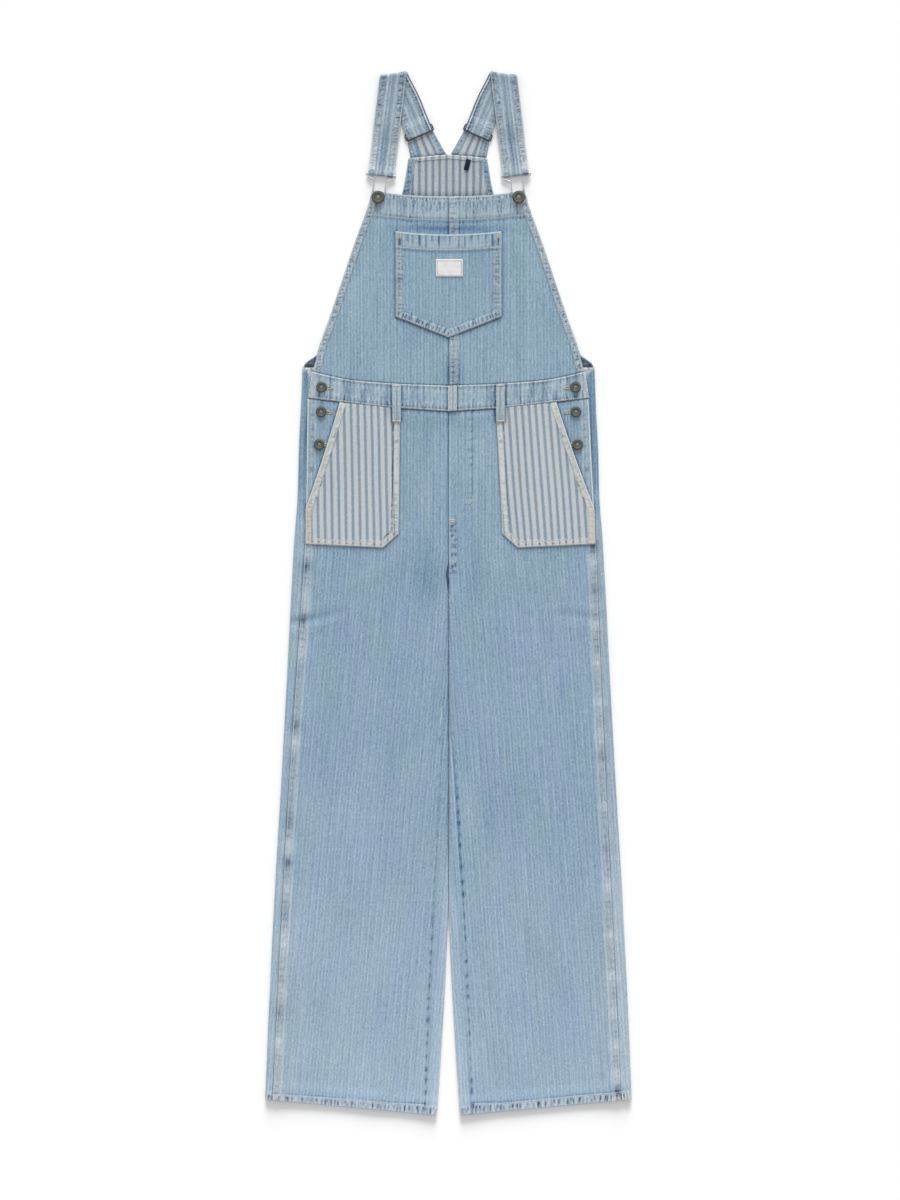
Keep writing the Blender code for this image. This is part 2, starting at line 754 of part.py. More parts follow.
def strap_stations():
    """Stations along the strap's ribbon, each a function of the place across the width."""
    square = RUN.dot(FOLD_NORMAL)
    slant = ACROSS.dot(FOLD_NORMAL)

    def row(run, layer, aligned):
        """Station at a run from the fold; `aligned` 1 is parallel to the fold, 0 is square."""
        radius = FOLD_OUTER if layer == "outer" else FOLD_INNER

        def point(across):
            distance = run * square + (1.0 - aligned) * across * slant
            flat, height = folded(distance, across, radius)
            if distance >= FOLD_DEPTH:
                height = front_level(run, 1 if layer == "outer" else -1)
            elif distance <= -FOLD_DEPTH and layer == "inner":
                rise = smooth(BACK_RUN - 26.0, BACK_RUN - SLIDER_GAP - 1.5, -run)
                height += SLIDER_RISE * rise
            return flat.x, flat.y, height
        return point

    def bar_turn(angle):
        """Station on the half turn round the hook bar."""
        def point(across):
            run = FRONT_RUN + BAR_WRAP * math.sin(angle)
            flat = Vector(FOLD_PLACE) + RUN * run + ACROSS * across
            return flat.x, flat.y, HOOK_BAR_HEIGHT + BAR_WRAP * math.cos(angle)
        return point

    edge = FOLD_DEPTH / square
    turn = [edge * share for share in (1.0, 0.66, 0.33, 0.0, -0.33, -0.66, -1.0)]
    away = (24.0, 44.0, 66.0, 96.0, 122.0, 136.0)
    stations = [row(-BACK_RUN + 6.0, "outer", 0.0), row(-56.0, "outer", 0.0), row(-26.0, "outer", 0.6)]
    stations += [row(-run, "outer", 1.0) for run in turn]
    stations += [row(run, "outer", 1.0 - smooth(10.0, 66.0, run)) for run in away]
    stations += [bar_turn(math.pi * step / 6) for step in range(7)]
    stations += [row(run, "inner", 1.0 - smooth(10.0, 66.0, run)) for run in reversed(away)]
    stations += [row(run, "inner", 1.0) for run in turn]
    stations += [row(-26.0, "inner", 0.6), row(-56.0, "inner", 0.0), row(-71.0, "inner", 0.0)]
    stations += [row(-BACK_RUN + reach, "inner", 0.0) for reach in (20.0, 13.5, 0.3)]
    return stations


def make_strap(name, side, material):
    """Ribbon that runs over the shoulder fold, round the hook bar, back and onto the slider."""
    stations = strap_stations()

    def surface(column, row):
        x, y, height = stations[row](STRAP_WIDTH * (column / 2 - 0.5))
        return side * x, y, height

    item = cloth(name, surface, 2, len(stations) - 1, material, 1)
    item.modifiers["wall"].offset = 0.0


def make_strap_tail(name, side, material):
    """End of the strap below the slider, spreading to where it is sewn to the back bib."""
    top_run = BACK_RUN - 6.0 + SEAM_GAP
    lower_edge = ((3.6, BACK_BIB_PEAK), (55.0, BACK_BIB_CORNER + 0.3))

    def surface(column, row):
        share = column / 2
        across = STRAP_WIDTH * (share - 0.5)
        head = Vector(FOLD_PLACE) + BACK_DIRECTION * top_run + BACK_ACROSS * across
        foot = Vector(lower_edge[0]) * (1.0 - share) + Vector(lower_edge[1]) * share
        foot.y += SEAM_GAP
        flat = head.lerp(foot, row / 3)
        return side * flat.x, flat.y, 0.0

    cloth(name, surface, 2, 3, material, -1)


# ---------------------------------------------------------------- metal

SLIDER_REACH = 2.2       # from the strap's edge to the middle of the slider's end bars
HOOK_WIRE = 1.0
STEM_RADIUS = 2.6
BUTTON_BELOW_BAR = 33.8
HOOK_HALF = (
    # half width, distance below the bar, height above the bar
    (19.9, 0.0, 0.0),
    (21.2, 0.9, 0.0),
    (21.0, 2.6, 0.1),
    (14.5, 6.6, 0.5),
    (9.4, 9.6, 0.9),
    (8.4, 13.0, 1.4),
    (8.7, 18.0, 2.1),
    (8.9, 24.0, 2.3),
    (8.1, 29.0, 2.3),
    (6.0, 33.4, 2.3),
    (4.6, 36.0, 2.3),
    (2.4, 37.6, 2.3),
)
BUTTON_PROFILE = (
    # radius, height, for a head of 1 radius
    (0.0, 3.1),
    (0.24, 3.2),
    (0.42, 3.0),
    (0.60, 3.6),
    (0.82, 3.7),
    (0.98, 3.1),
    (1.0, 2.6),
    (0.88, 2.1),
    (0.32, 1.7),
    (0.32, 0.0),
    (0.0, 0.0),
)
SIDE_BUTTON_RADIUS = 8.0
BIB_BUTTON_RADIUS = 9.2
BIB_BUTTON_LIFT = 2.6    # the bib buttons stand higher, above the hook's wire
SIDE_BUTTONS = (
    # name, distance from the centre line, y
    ("waist_button", 184.0, 298.8),
    ("side_button_upper", 184.6, 263.0),
    ("side_button_lower", 187.2, 215.6),
)


def make_slider(name, side, material):
    """Rectangular wire slider: two bars across the strap and two short ends."""
    half = STRAP_WIDTH / 2 + SLIDER_REACH
    corner = 1.6
    height = CLOTH + SEAM_GAP + BAR_RADIUS
    outline = (
        (-half, corner), (-half + corner, 0.0), (half - corner, 0.0), (half, corner),
        (half, SLIDER_GAP - corner), (half - corner, SLIDER_GAP),
        (-half + corner, SLIDER_GAP), (-half, SLIDER_GAP - corner),
    )
    points = []
    for across, up in outline:
        flat = Vector(FOLD_PLACE) + BACK_DIRECTION * (BACK_RUN - up) + BACK_ACROSS * across
        points.append((side * flat.x, flat.y, height))
    wire(name, points, BAR_RADIUS, material)


def hook_point(side, across, below, above):
    """Point of the hook, from the middle of its bar."""
    flat = Vector(FOLD_PLACE) + RUN * (FRONT_RUN + below) + ACROSS * across
    return side * flat.x, flat.y, HOOK_BAR_HEIGHT + above


def make_hook(name, side, material):
    """Closed wire loop: a bar for the strap, a neck, and a round foot behind the button's head."""
    points = [hook_point(side, across, below, above) for across, below, above in HOOK_HALF]
    points += [hook_point(side, -across, below, above) for across, below, above in reversed(HOOK_HALF)]
    wire(name, points, HOOK_WIRE, material)


def make_button(name, place, radius, lift, material):
    """Shank button: a dished head on a stem that stands on the cloth."""
    profile = [(share * radius, height + (lift if height > 0.0 else 0.0)) for share, height in BUTTON_PROFILE]
    if lift:
        profile[8] = (STEM_RADIUS, profile[8][1])
        profile[9] = (STEM_RADIUS, 0.0)
    turned(name, profile, place, material, steps=14)


def make_buttons(material):
    """Bib buttons inside the hooks' feet, and three buttons down each side opening."""
    for word, side in SIDES:
        x, y, _ = hook_point(side, 0.0, BUTTON_BELOW_BAR, 0.0)
        seat = front_height(x, y) + DOUBLED + LAYER_GAP
        make_button(f"bib_button_{word}", (x, y, seat), BIB_BUTTON_RADIUS, BIB_BUTTON_LIFT, material)
        for label, across, at in SIDE_BUTTONS:
            x = side * across
            seat = waist_top(x, at) + LAYER_GAP
            make_button(f"{label}_{word}", (x, at, seat), SIDE_BUTTON_RADIUS, 0.0, material)


# ---------------------------------------------------------------- the garment

garment = start_scene()
denim = make_material("washed_denim", (0.28, 0.40, 0.52), 0.85)
reverse = make_material("striped_reverse", (0.45, 0.52, 0.57), 0.85)
bronze = make_material("antique_bronze", (0.16, 0.15, 0.12), 0.45, 0.9)
silver = make_material("silver_wire", (0.75, 0.76, 0.78), 0.3, 1.0)
white = make_material("white_patch", (0.75, 0.74, 0.74), 0.7)
navy = make_material("navy_tab", (0.02, 0.025, 0.06), 0.8)

for word, side in SIDES:
    make_back(f"back_{word}", side, denim)
    make_front(f"front_{word}", side, denim)
    make_bib(f"bib_{word}", side, denim)
    make_hip_pocket(f"hip_pocket_{word}", side, reverse)
    make_belt_loop(f"belt_loop_{word}", side, denim)
    make_strap(f"strap_{word}", side, denim)
    make_strap_tail(f"strap_tail_{word}", side, reverse)
    make_slider(f"slider_{word}", side, bronze)
    make_hook(f"hook_{word}", side, silver)
make_waistband(denim)
make_back_bib(reverse)
make_bib_pocket(denim)
make_centre_loop(denim)
make_patch(
    "pocket_label", LABEL_PLACE, LABEL_SIZE, 0.0,
    lambda x, y: front_height(x, y) + 2 * CLOTH + LAYER_GAP, 1.0, white,
)
make_patch("back_tab", TAB_PLACE, TAB_SIZE, TAB_TURN, lambda x, y: CLOTH, 1.0, navy)
make_buttons(bronze)
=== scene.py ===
"""Denim dungarees that lie flat on their back, front upwards: cloth, sewing, metal and finish.

The head end points to +Y, the front to +Z and the wearer's right side lies at -X. Sizes are in
millimetres until a mesh is made. Both halves share one cut: a place across the garment is its
distance from the centre line, and side (-1 right, +1 left) puts it on its half.
"""

import math

import bmesh
import bpy
import numpy as np
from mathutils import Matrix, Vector


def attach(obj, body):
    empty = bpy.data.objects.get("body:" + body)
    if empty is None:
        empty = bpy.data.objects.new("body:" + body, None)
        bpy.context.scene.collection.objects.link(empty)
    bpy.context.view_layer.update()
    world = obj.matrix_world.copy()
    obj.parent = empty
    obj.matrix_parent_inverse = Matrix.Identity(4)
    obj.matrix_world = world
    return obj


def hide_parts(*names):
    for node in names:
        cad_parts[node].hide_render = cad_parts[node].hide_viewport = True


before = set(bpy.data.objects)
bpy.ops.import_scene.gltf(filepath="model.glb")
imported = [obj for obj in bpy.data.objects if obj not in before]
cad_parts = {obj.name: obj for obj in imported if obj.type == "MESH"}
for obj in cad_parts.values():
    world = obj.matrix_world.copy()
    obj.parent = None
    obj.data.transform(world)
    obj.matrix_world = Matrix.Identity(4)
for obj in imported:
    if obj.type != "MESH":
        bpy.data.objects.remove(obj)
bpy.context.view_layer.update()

# ---------------- leg backs
# Two panels of light washed denim, striped on its reverse, with seat and leg in one. Each lies on
# the ground, turns round the side fold and comes onto the front as far as the outseam. Above the
# hip it runs on below the front as the underlap of the side opening. The hem is turned up and sewn.

MM = 0.001
SIDES = (("right", -1), ("left", 1))
CLOTH, DOUBLED, SEAM_GAP, LAYER_GAP = 1.2, 2.4, 0.3, 0.4
CROTCH_Y = 21.0
STRIPE, WIDE_STRIPE = 4.83, 9.95  # pitch of the narrow and of the wide woven stripes
SIDE_FOLD = (
    # y, distance of the side fold
    (-757, 266.6), (-604, 260.3), (-430, 251.6), (-256, 241.4), (-82.1, 232), (4.9, 227.7),
    (77.4, 223.5), (135.4, 219), (207.9, 216.8), (280.4, 213.2), (328.7, 211.5),
)
INNER_FOLD = (
    # y, distance of the leg's inner fold
    (-757, 16.9), (-691, 12.4), (-604, 7.2), (-517, 2.7), (-440, 0.25), (21, 0.25),
)
OUTSEAM = (
    # y, distance of the outseam
    (-757, 254.1), (-690, 251.2), (-330, 233.2), (-82.1, 219.5), (68, 211.7), (135.4, 208.8),
    (284, 204),
)
SWAY = (
    # y, how far the outseams and hip pockets are shifted towards the garment's left side
    (-757, -2.4), (-330, -1.8), (-82, 0.7), (68, 2.8), (140, 1.8), (284, -0.8),
)
INSEAM = (
    # y, share of the inner fold's half turn, flat width past it
    (-757, 1, 15), (-620, 1, 19), (-480, 1, 19.5), (-390, 1, 15.5),
    (-200, 1, 5), (-80, 1, 0.8), (-30, 0.8, 0), (21, 0.5, 0),
)
BACK_BIB_SIDE = (
    # y, half width of the back bib
    (322, 209.5), (329, 210.5), (334.5, 208), (340, 200.5), (347, 191), (396.4, 150),
    (483.4, 99), (582, 66), (634, 56.6),
)
HEM_ENDS = ((17.0, -756.9), (266.0, -733.8))
HEM_DEPTH = 12.6
HEM_STITCHES = (
    # distance across, height of the stitches on the right and on the left leg
    (17, 14, 15.5), (37, 13.5, 14.8), (90, 11.1, 11.5), (140, 11, 11.5),
    (195, 10, 12), (230, 9.4, 11.8), (266, 8.8, 13.6),
)
HEM_MIDDLE_Y = -745.4
HEM_MARKS = (
    # x, y, half width, half length, how dark: strokes at the hem's seams and beside the right inseam
    (-30.6, -741, 1.3, 6, 0.6), (-25, -741.5, 1.3, 5, 0.5), (-28, -737, 4, 1.2, 0.5),
    (-33, -722, 1.4, 16, -0.22), (30.4, -741, 1.2, 6.5, 0.75), (27.6, -741, 1, 5, 0.3),
    (36, -743, 1.2, 5, 0.5), (21, -735.5, 8, 1.2, 0.35), (248, -728, 9, 1.4, 0.3),
    (250, -724, 6, 1.6, 0.3), (243, -722, 4, 3, 0.16), (253, -733, 1.3, 6, 0.4),
    (-5, -151, 0.9, 13, -0.3), (-10.2, -178, 0.9, 13, -0.3), (-7.6, -160, 1, 18, 0.16),
    (-13.5, -212, 2.4, 5, 0.22),
)
SIDE_TOP_X, SIDE_TOP_Y, BACK_WAIST_Y = 211.5, 328.7, 322.0
MIDDLE_HEIGHT, INNER_HEIGHT, SIDE_HEIGHT = 1.9, 3.6, 4.8  # of the front layer's underside
WAVES = (
    # height, length across, length along, phase
    (0.35, 185, 640, 0.4), (0.25, 120, -410, 2.1), (0.15, 74, 260, 4.4),
)
CREASES = (
    # from x, y, to x, y, half width, height (a trough below zero)
    (-226, -42, -196, -38, 5, -1.0), (-200, -38, -158, -29, 3.2, -0.55),
    (-222, -31, -166, -17, 8, 0.75), (-218, -56, -170, -44, 8, 0.6), (166, -30, 212, -36, 4, -0.6),
    (176, -20, 222, -24, 7, 0.5), (172, -50, 214, -52, 8, 0.4), (-26, 52, -32, -8, 9, -0.8),
    (36, 56, 44, -14, 10, -0.7), (-14, 60, -12, -20, 6, 0.6), (18, 60, 16, -30, 7, 0.6),
    (-24, -50, -25, -262, 4.5, -0.55), (-34, -60, -38, -240, 8, 0.35), (62, -40, 54, -300, 14, -0.4),
    (84, -90, 80, -330, 18, 0.4), (-178, -120, -186, -330, 16, -0.4), (-150, -150, -152, -380, 18, 0.4),
    (-84, -260, -96, -470, 15, -0.4), (-62, -300, -70, -520, 14, 0.35),
    (132, -330, 150, -520, 18, -0.4), (168, -300, 186, -560, 16, 0.35), (60, -420, 66, -640, 16, 0.35),
    (100, -500, 112, -690, 15, -0.35), (-120, -560, -136, -716, 17, -0.35),
    (-196, -480, -212, -690, 14, 0.35), (206, -120, 196, -300, 10, 0.35), (-52, 200, -58, 40, 9, -0.3),
    (48, 96, 66, 30, 9, 0.35), (-98, 30, -150, 8, 11, 0.45), (96, 28, 160, 2, 12, 0.4),
    (104, 470, 96, 330, 8, -0.55), (118, 480, 112, 340, 9, 0.45), (-100, 460, -116, 340, 12, 0.35),
    (-40, 372, -58, 318, 10, -0.4), (48, 366, 70, 322, 11, 0.35), (-150, 400, -160, 340, 9, -0.35),
    (-88, 520, -92, 430, 7, -0.3), (140, 400, 150, 344, 8, -0.3),
)
SIDE_PUCKERS = (
    # side, y on the outseam, how dark the trough is (a pale ridge below zero), half length
    (-1, 58, -0.5, 7), (-1, 38, 1.0, 8), (-1, -6, -0.5, 13), (-1, -40, 1.2, 7), (-1, -82, -0.5, 14),
    (-1, -114, 0.4, 9), (-1, -192, 0.8, 9), (-1, -216, -0.7, 9), (-1, -244, 0.4, 9),
    (-1, -332, 0.7, 10), (-1, -368, -0.6, 12), (-1, -391, 1.0, 8), (-1, -430, -0.4, 10),
    (-1, -466, 0.5, 11), (-1, -507, -0.7, 13), (-1, -579, -0.5, 12), (-1, -608, 0.6, 8),
    (-1, -652, -0.8, 14), (1, 67, 1.0, 7), (1, 44, -0.7, 9), (1, 5, 0.6, 8), (1, -49, -0.5, 10),
    (1, -100, -0.6, 9), (1, -159, -0.7, 9), (1, -208, -0.6, 12), (1, -237, 0.6, 7), (1, -310, -0.5, 10),
    (1, -372, 0.4, 9), (1, -426, -0.6, 13), (1, -498, -0.6, 9), (1, -557, -0.7, 10),
    (1, -608, -0.4, 10), (1, -658, -0.8, 9), (1, -699, -0.8, 8), (1, -721, 1.0, 8),
)
BLOTS = (
    # x, y, half width, half length, how dark (pale below zero)
    # the first two bells are painted shade in the troughs either side of the crotch; the rest are the
    # wash's faded and dark places, save those marked below
    (-30, 26, 17, 44, 0.10), (36, 34, 18, 46, 0.09), (-90, -40, 70, 120, 0.03),
    (90, -250, 60, 120, 0.01), (-177, -230, 14, 60, 0.05), (-85, -280, 12, 60, 0.04),
    (132, -360, 34, 36, 0.035), (60, -330, 12, 70, 0.04), (-128, -540, 110, 130, -0.09),
    (-130, -710, 140, 80, -0.12), (130, -700, 140, 110, -0.095), (-214, -530, 30, 150, -0.06),
    (218, -600, 30, 130, -0.05), (120, -460, 90, 120, -0.06), (-120, -320, 100, 110, -0.03),
    (-34, -600, 12, 120, -0.04), (34, -620, 12, 120, -0.05), (104, 410, 7, 70, 0.06),
    (118, 400, 6, 80, -0.05), (-53, 367, 14, 22, 0.05), (2, 355, 6, 10, -0.12), (6, 318, 12, 17, 0.2),
    (-150, 440, 18, 60, -0.03), (0, 250, 90, 12, 0.06), (45, 180, 30, 60, -0.04),
    # the first two: painted shade beside the right belt loop
    (-91, 280, 4, 14, 0.14), (-98, 304, 9, 6, 0.15), (42, 556, 14, 12, 0.1), (-100, 545, 16, 16, -0.06),
    # painted shadow above the bib pocket's mouth
    (30, 529, 58, 6, 0.2), (-30, 530, 44, 5, 0.2),
)


def smooth(low, high, value):
    """Eased step from 0 at low to 1 at high: the share s of the way as 3ss - 2sss."""
    share = np.clip((value - low) / (high - low), 0.0, 1.0)
    return share * share * (3.0 - 2.0 * share)


def band(value, low, high, soft=1.0):
    """1 between low and high and 0 outside, eased over `soft` on either side of both."""
    return smooth(low - soft, low + soft, value) * (1.0 - smooth(high - soft, high + soft, value))


def bell(off, half):
    """Bell curve, exp(-(off / half) squared): 1 in the middle, 0.37 at `half` from it."""
    return np.exp(-((off / half) ** 2))


def spot(off_x, off_y, half_x, half_y):
    """Bell over two directions, each with its own half width."""
    return np.exp(-((off_x / half_x) ** 2) - (off_y / half_y) ** 2)


def along(table, at, column=1):
    """One column of a table on a smooth curve: cubic spans whose end slopes are the mean of the
    neighbouring rises, held to three times the flatter one, so that the curve never overshoots."""
    keys = np.array([row[0] for row in table], float)
    values = np.array([row[column] for row in table], float)
    steps = np.diff(values) / np.diff(keys)
    slopes = np.concatenate((steps[:1], 0.5 * (steps[:-1] + steps[1:]), steps[-1:]))
    slopes[1:-1][steps[:-1] * steps[1:] <= 0.0] = 0.0
    flattest = np.minimum(np.abs(np.append(steps, steps[-1])), np.abs(np.insert(steps, 0, steps[0])))
    slopes = np.sign(slopes) * np.minimum(np.abs(slopes), 3.0 * flattest)
    at = np.clip(at, keys[0], keys[-1])
    i = np.clip(np.searchsorted(keys, at, side="right") - 1, 0, len(keys) - 2)
    span = keys[i + 1] - keys[i]
    s = (at - keys[i]) / span
    return (
        (1 + 2 * s) * (1 - s) ** 2 * values[i] + s * (1 - s) ** 2 * span * slopes[i]
        + s * s * (3 - 2 * s) * values[i + 1] + s * s * (s - 1) * span * slopes[i + 1]
    )


def outseam(side, y):
    """Distance of a leg's outseam from the centre line."""
    return along(OUTSEAM, y) + side * along(SWAY, y)


def hem_line(across):
    """The hem rises on a straight line from the inner fold to the side fold."""
    (inner, low), (outer, high) = HEM_ENDS
    return low + (high - low) * (across - inner) / (outer - inner)


def creased(x, y):
    """Creases: bells across lines on the cloth that also fade past the lines' ends."""
    total = np.zeros(np.broadcast(x, y).shape)
    for x0, y0, x1, y1, half, height in CREASES:
        length = math.hypot(x1 - x0, y1 - y0)
        ux, uy = (x1 - x0) / length, (y1 - y0) / length
        run = (x - x0) * ux + (y - y0) * uy
        off = (y - y0) * ux - (x - x0) * uy
        beyond = np.maximum(0.0, np.maximum(-run, run - length))
        total += height * spot(off, beyond, half, 2.5 * half)
    return total


def blotted(x, y, table=BLOTS):
    """Faded and dark places of the wash, and painted shade where a table lists it: bells of their own
    width and length.
    """
    total = np.zeros(np.broadcast(x, y).shape)
    for at_x, at_y, half, long_half, dark in table:
        total += dark * spot(x - at_x, y - at_y, half, long_half)
    return total


def laid(x, y):
    """Underside of the front layer: low waves over the middle, rising to the side folds and to the
    legs' inner folds, a little higher at the hems and sunk where no back bib lies below the bib."""
    across, above_waist = np.abs(x), smooth(BACK_WAIST_Y, BACK_WAIST_Y + 50.0, y)
    middle = MIDDLE_HEIGHT + 0.4 * smooth(-60.0, 60.0, y) - 0.4 * above_waist
    swell = sum(
        0.6 * height * (1.0 + np.sin(2 * math.pi * (x / long_x + y / long_y) + phase))
        for height, long_x, long_y, phase in WAVES
    )
    share = bell(along(SIDE_FOLD, y) - across, 45.0)
    height = middle + swell + ((SIDE_HEIGHT - middle) * (1.0 - above_waist) - swell) * share
    inner = INNER_HEIGHT + 0.6 * smooth(CROTCH_Y, -160.0, y)
    inner_share = bell(across - along(INNER_FOLD, y), 30.0)
    height += (inner - height) * inner_share * smooth(CROTCH_Y + 60.0, CROTCH_Y, y)
    height += smooth(HEM_DEPTH + 20.0, HEM_DEPTH + 4.0, y - hem_line(across))
    past = across - along(BACK_BIB_SIDE, y) - 6.0
    height -= 1.4 * smooth(0.0, 24.0, past) * above_waist
    return height + creased(x, y)


def hem_stitches(side, across):
    """Height of the hem's stitches above its folded edge."""
    return along(HEM_STITCHES, across, 1 if side < 0 else 2)


def hem_wall(rise):
    """Thickness of the leg's cloth at a height above the hem line: doubled in the turned hem."""
    return CLOTH + (DOUBLED - CLOTH) * (1.0 - smooth(HEM_DEPTH - 1.0, HEM_DEPTH + 1.6, rise))


def chance(number, seed):
    """A value from 0 to 1 for each whole number, spread evenly: the fraction of a large sine."""
    value = 43758.5453 * np.sin(12.9898 * number + 78.233 * seed)
    return value - np.floor(value)


def puckers(run, rise, pitch, low, high, raised=0.25):
    """Troughs, up to 1, that a sewing line draws between two distances from an edge, with the cloth
    a little raised between them: one bell to each pitch, of its own place, width, depth and slant."""
    total = np.zeros(np.broadcast(run, rise).shape)
    for step in (-1, 0, 1):
        k = np.floor(run / pitch) + step
        slant = 0.5 * (chance(k, 2) - 0.5) * (rise - low)
        middle = (k + 0.5 + 0.6 * (chance(k, 1) - 0.5)) * pitch + slant
        half = pitch * (0.12 + 0.13 * chance(k, 3))
        reach = low + (high - low) * (0.55 + 0.6 * chance(k, 4))
        trough = (0.5 + 0.5 * chance(k, 5)) * bell(run - middle, half)
        total = np.maximum(total, trough * band(rise, low, reach, 1.2))
    return total - raised * band(rise, low, high, 1.2)


def hem_folds(side, across, rise):
    """Puckers that the hem's stitches draw between them and the folded edge, close and narrow."""
    share = 11.0 * rise / hem_stitches(side, across)
    folds = puckers(side * across, share, 6.0, 1.4, 13.0, 0.12)
    folds += 0.4 * puckers(side * across + 2.2, share, 4.6, 4.5, 12.0, 0.0)
    return folds * (1.0 - smooth(8.2, 10.0, share))


def outseam_puckers(side, across, y):
    """Dark troughs and pale ridges over the felled outseam."""
    inside = outseam(side, y) - across
    total = np.zeros(inside.shape)
    for its_side, at, dark, half in SIDE_PUCKERS:
        if its_side == side:
            total += dark * bell(y - at, half)
    return total * bell(inside - 4.0, 8.5)


def linear(red, green, blue):
    """Linear colour of an sRGB colour in 0 to 255, less a tenth, which the strong light gives back."""
    scaled = [value / 255.0 for value in (red, green, blue)]
    return (*[(v / 12.92 if v < 0.04 else ((v + 0.055) / 1.055) ** 2.4) / 1.1 for v in scaled], 1.0)


def feed(tree, made, inputs):
    """Feed a node's inputs by values or by sockets."""
    for key, value in inputs.items():
        if isinstance(value, bpy.types.NodeSocket):
            tree.links.new(value, made.inputs[key])
        else:
            made.inputs[key].default_value = value


def node(tree, kind, inputs=None, output=0, **settings):
    """Shader node with its properties set and its inputs fed."""
    made = tree.nodes.new(kind)
    for key, value in settings.items():
        setattr(made, key, value)
    feed(tree, made, inputs or {})
    return made.outputs[output]


def maths(tree, operation, *values):
    """Math node."""
    return node(tree, "ShaderNodeMath", dict(enumerate(values)), operation=operation)


def noise(tree, place, scale, detail=1.0):
    """Noise from 0 to 1."""
    return node(tree, "ShaderNodeTexNoise", {"Vector": place, "Scale": scale, "Detail": detail})


def own(tree, name):
    """A piece's own values at its points."""
    return node(tree, "ShaderNodeAttribute", output=2, attribute_name=name)


def ramp(tree, value, *stops):
    """Colour ramp through stops (place, colour)."""
    made = tree.nodes.new("ShaderNodeValToRGB")
    tree.links.new(value, made.inputs[0])
    while len(made.color_ramp.elements) < len(stops):
        made.color_ramp.elements.new(0.5)
    for element, (place, color) in zip(made.color_ramp.elements, stops):
        element.position, element.color = place, color
    return made.outputs[0]


def group(name, inputs, outputs):
    """Empty shader group with float or vector inputs (name, default) and named float outputs."""
    tree = bpy.data.node_groups.new(name, "ShaderNodeTree")
    for label, value in inputs:
        kind = "NodeSocketFloat" if isinstance(value, float) else "NodeSocketVector"
        made = tree.interface.new_socket(label, in_out="INPUT", socket_type=kind)
        if isinstance(value, float):
            made.default_value = value
    for label in outputs:
        tree.interface.new_socket(label, in_out="OUTPUT", socket_type="NodeSocketFloat")
    return tree, tree.nodes.new("NodeGroupInput"), tree.nodes.new("NodeGroupOutput")


def streaked(tree, across, up, per_metre_across, per_metre_up, detail=1.0):
    """Noise in the cloth's own directions, -0.5 to 0.5."""
    place = node(tree, "ShaderNodeCombineXYZ", {
        0: maths(tree, "MULTIPLY", across, per_metre_across),
        1: maths(tree, "MULTIPLY", up, per_metre_up)})
    return maths(tree, "SUBTRACT", noise(tree, place, 1.0, detail), 0.5)


def total(tree, *terms):
    """Sum of sockets, each with its weight."""
    value = 0.0
    for socket, weight in terms:
        value = maths(tree, "MULTIPLY_ADD", socket, weight, value)
    return value


# Yarns of the cloth, which both faces share: narrow faded stripes that wander and break up, thin
# lengthwise slubs, the specks of the weft, the clouds that the wash leaves, and a slow drift of the
# colour, which turns a little bluer down the legs.
yarns, yarns_in, yarns_out = group(
    "denim_yarns", (("Cut", (0, 0, 0)), ("Pitch", STRIPE * MM)),
    ("Stripe", "Fine", "Broad", "Slub", "Speck", "Cloud", "Drift", "Height"))
cut_u = node(yarns, "ShaderNodeSeparateXYZ", {0: yarns_in.outputs["Cut"]})
cut_v = cut_u.node.outputs[1]
drift = maths(yarns, "MULTIPLY_ADD", streaked(yarns, cut_u, cut_v, 9.0, 5.0), 0.004, cut_u)
turns = maths(yarns, "DIVIDE", maths(yarns, "MULTIPLY", drift, 2 * math.pi), yarns_in.outputs["Pitch"])
breaks = maths(yarns, "ADD", streaked(yarns, cut_u, cut_v, 160.0, 22.0), 0.55)
slub = total(yarns, (streaked(yarns, cut_u, cut_v, 720.0, 85.0, 2.0), 1.15),
             (streaked(yarns, cut_u, cut_v, 330.0, 11.0), 0.7))
speck = total(yarns, (streaked(yarns, cut_u, cut_v, 1150.0, 950.0, 0.0), 1.0),
              (streaked(yarns, cut_u, cut_v, 420.0, 300.0, 0.0), 0.9))
wave = maths(yarns, "COSINE", turns)
low_down = node(yarns, "ShaderNodeMapRange", {0: cut_v, 1: 0.35, 2: -0.2, 3: -0.1, 4: 0.14})
crest = maths(yarns, "POWER", maths(yarns, "MULTIPLY_ADD", wave, 0.5, 0.5), 3.0)
for label, value in (
    ("Stripe", total(yarns, (wave, 1.0), (streaked(yarns, cut_u, cut_v, 520.0, 260.0), 0.9))),
    ("Fine", maths(yarns, "MULTIPLY", maths(yarns, "MULTIPLY_ADD", crest, 1.7, -0.53), breaks)),
    ("Broad", maths(yarns, "COSINE", maths(yarns, "MULTIPLY_ADD", turns, 0.5, 0.6))),
    ("Slub", slub), ("Speck", speck), ("Cloud", streaked(yarns, cut_u, cut_v, 14.0, 8.0, 3.0)),
    ("Drift", maths(yarns, "ADD", streaked(yarns, cut_u, cut_v, 23.0, 7.0, 2.0), low_down)),
    ("Height", total(yarns, (slub, 0.5), (speck, 0.6), (wave, 0.1))),
):
    yarns.links.new(value, yarns_out.inputs[label])


def mixed(tree, share, first, second):
    """Colour between two, by a share from 0 to 1."""
    return node(tree, "ShaderNodeMix", {0: share, 6: first, 7: second}, output=2, data_type="RGBA")


def new_material(name):
    """Material with nodes, and its tree."""
    made = bpy.data.materials.new(name)
    made.use_nodes = True
    return made, made.node_tree


def finished(tree, inputs, height=None, strength=0.5, distance=0.0003):
    """Feed the surface shader, with the relief of a height if there is one."""
    if height is not None:
        relief = {"Height": height, "Strength": strength, "Distance": distance}
        inputs["Normal"] = node(tree, "ShaderNodeBump", relief)
    feed(tree, tree.nodes["Principled BSDF"], inputs)


def tinged(stops, red, green, blue):
    """Colour stops with each colour's share multiplied."""
    return [(place, (red * c[0], green * c[1], blue * c[2], 1.0)) for place, c in stops]


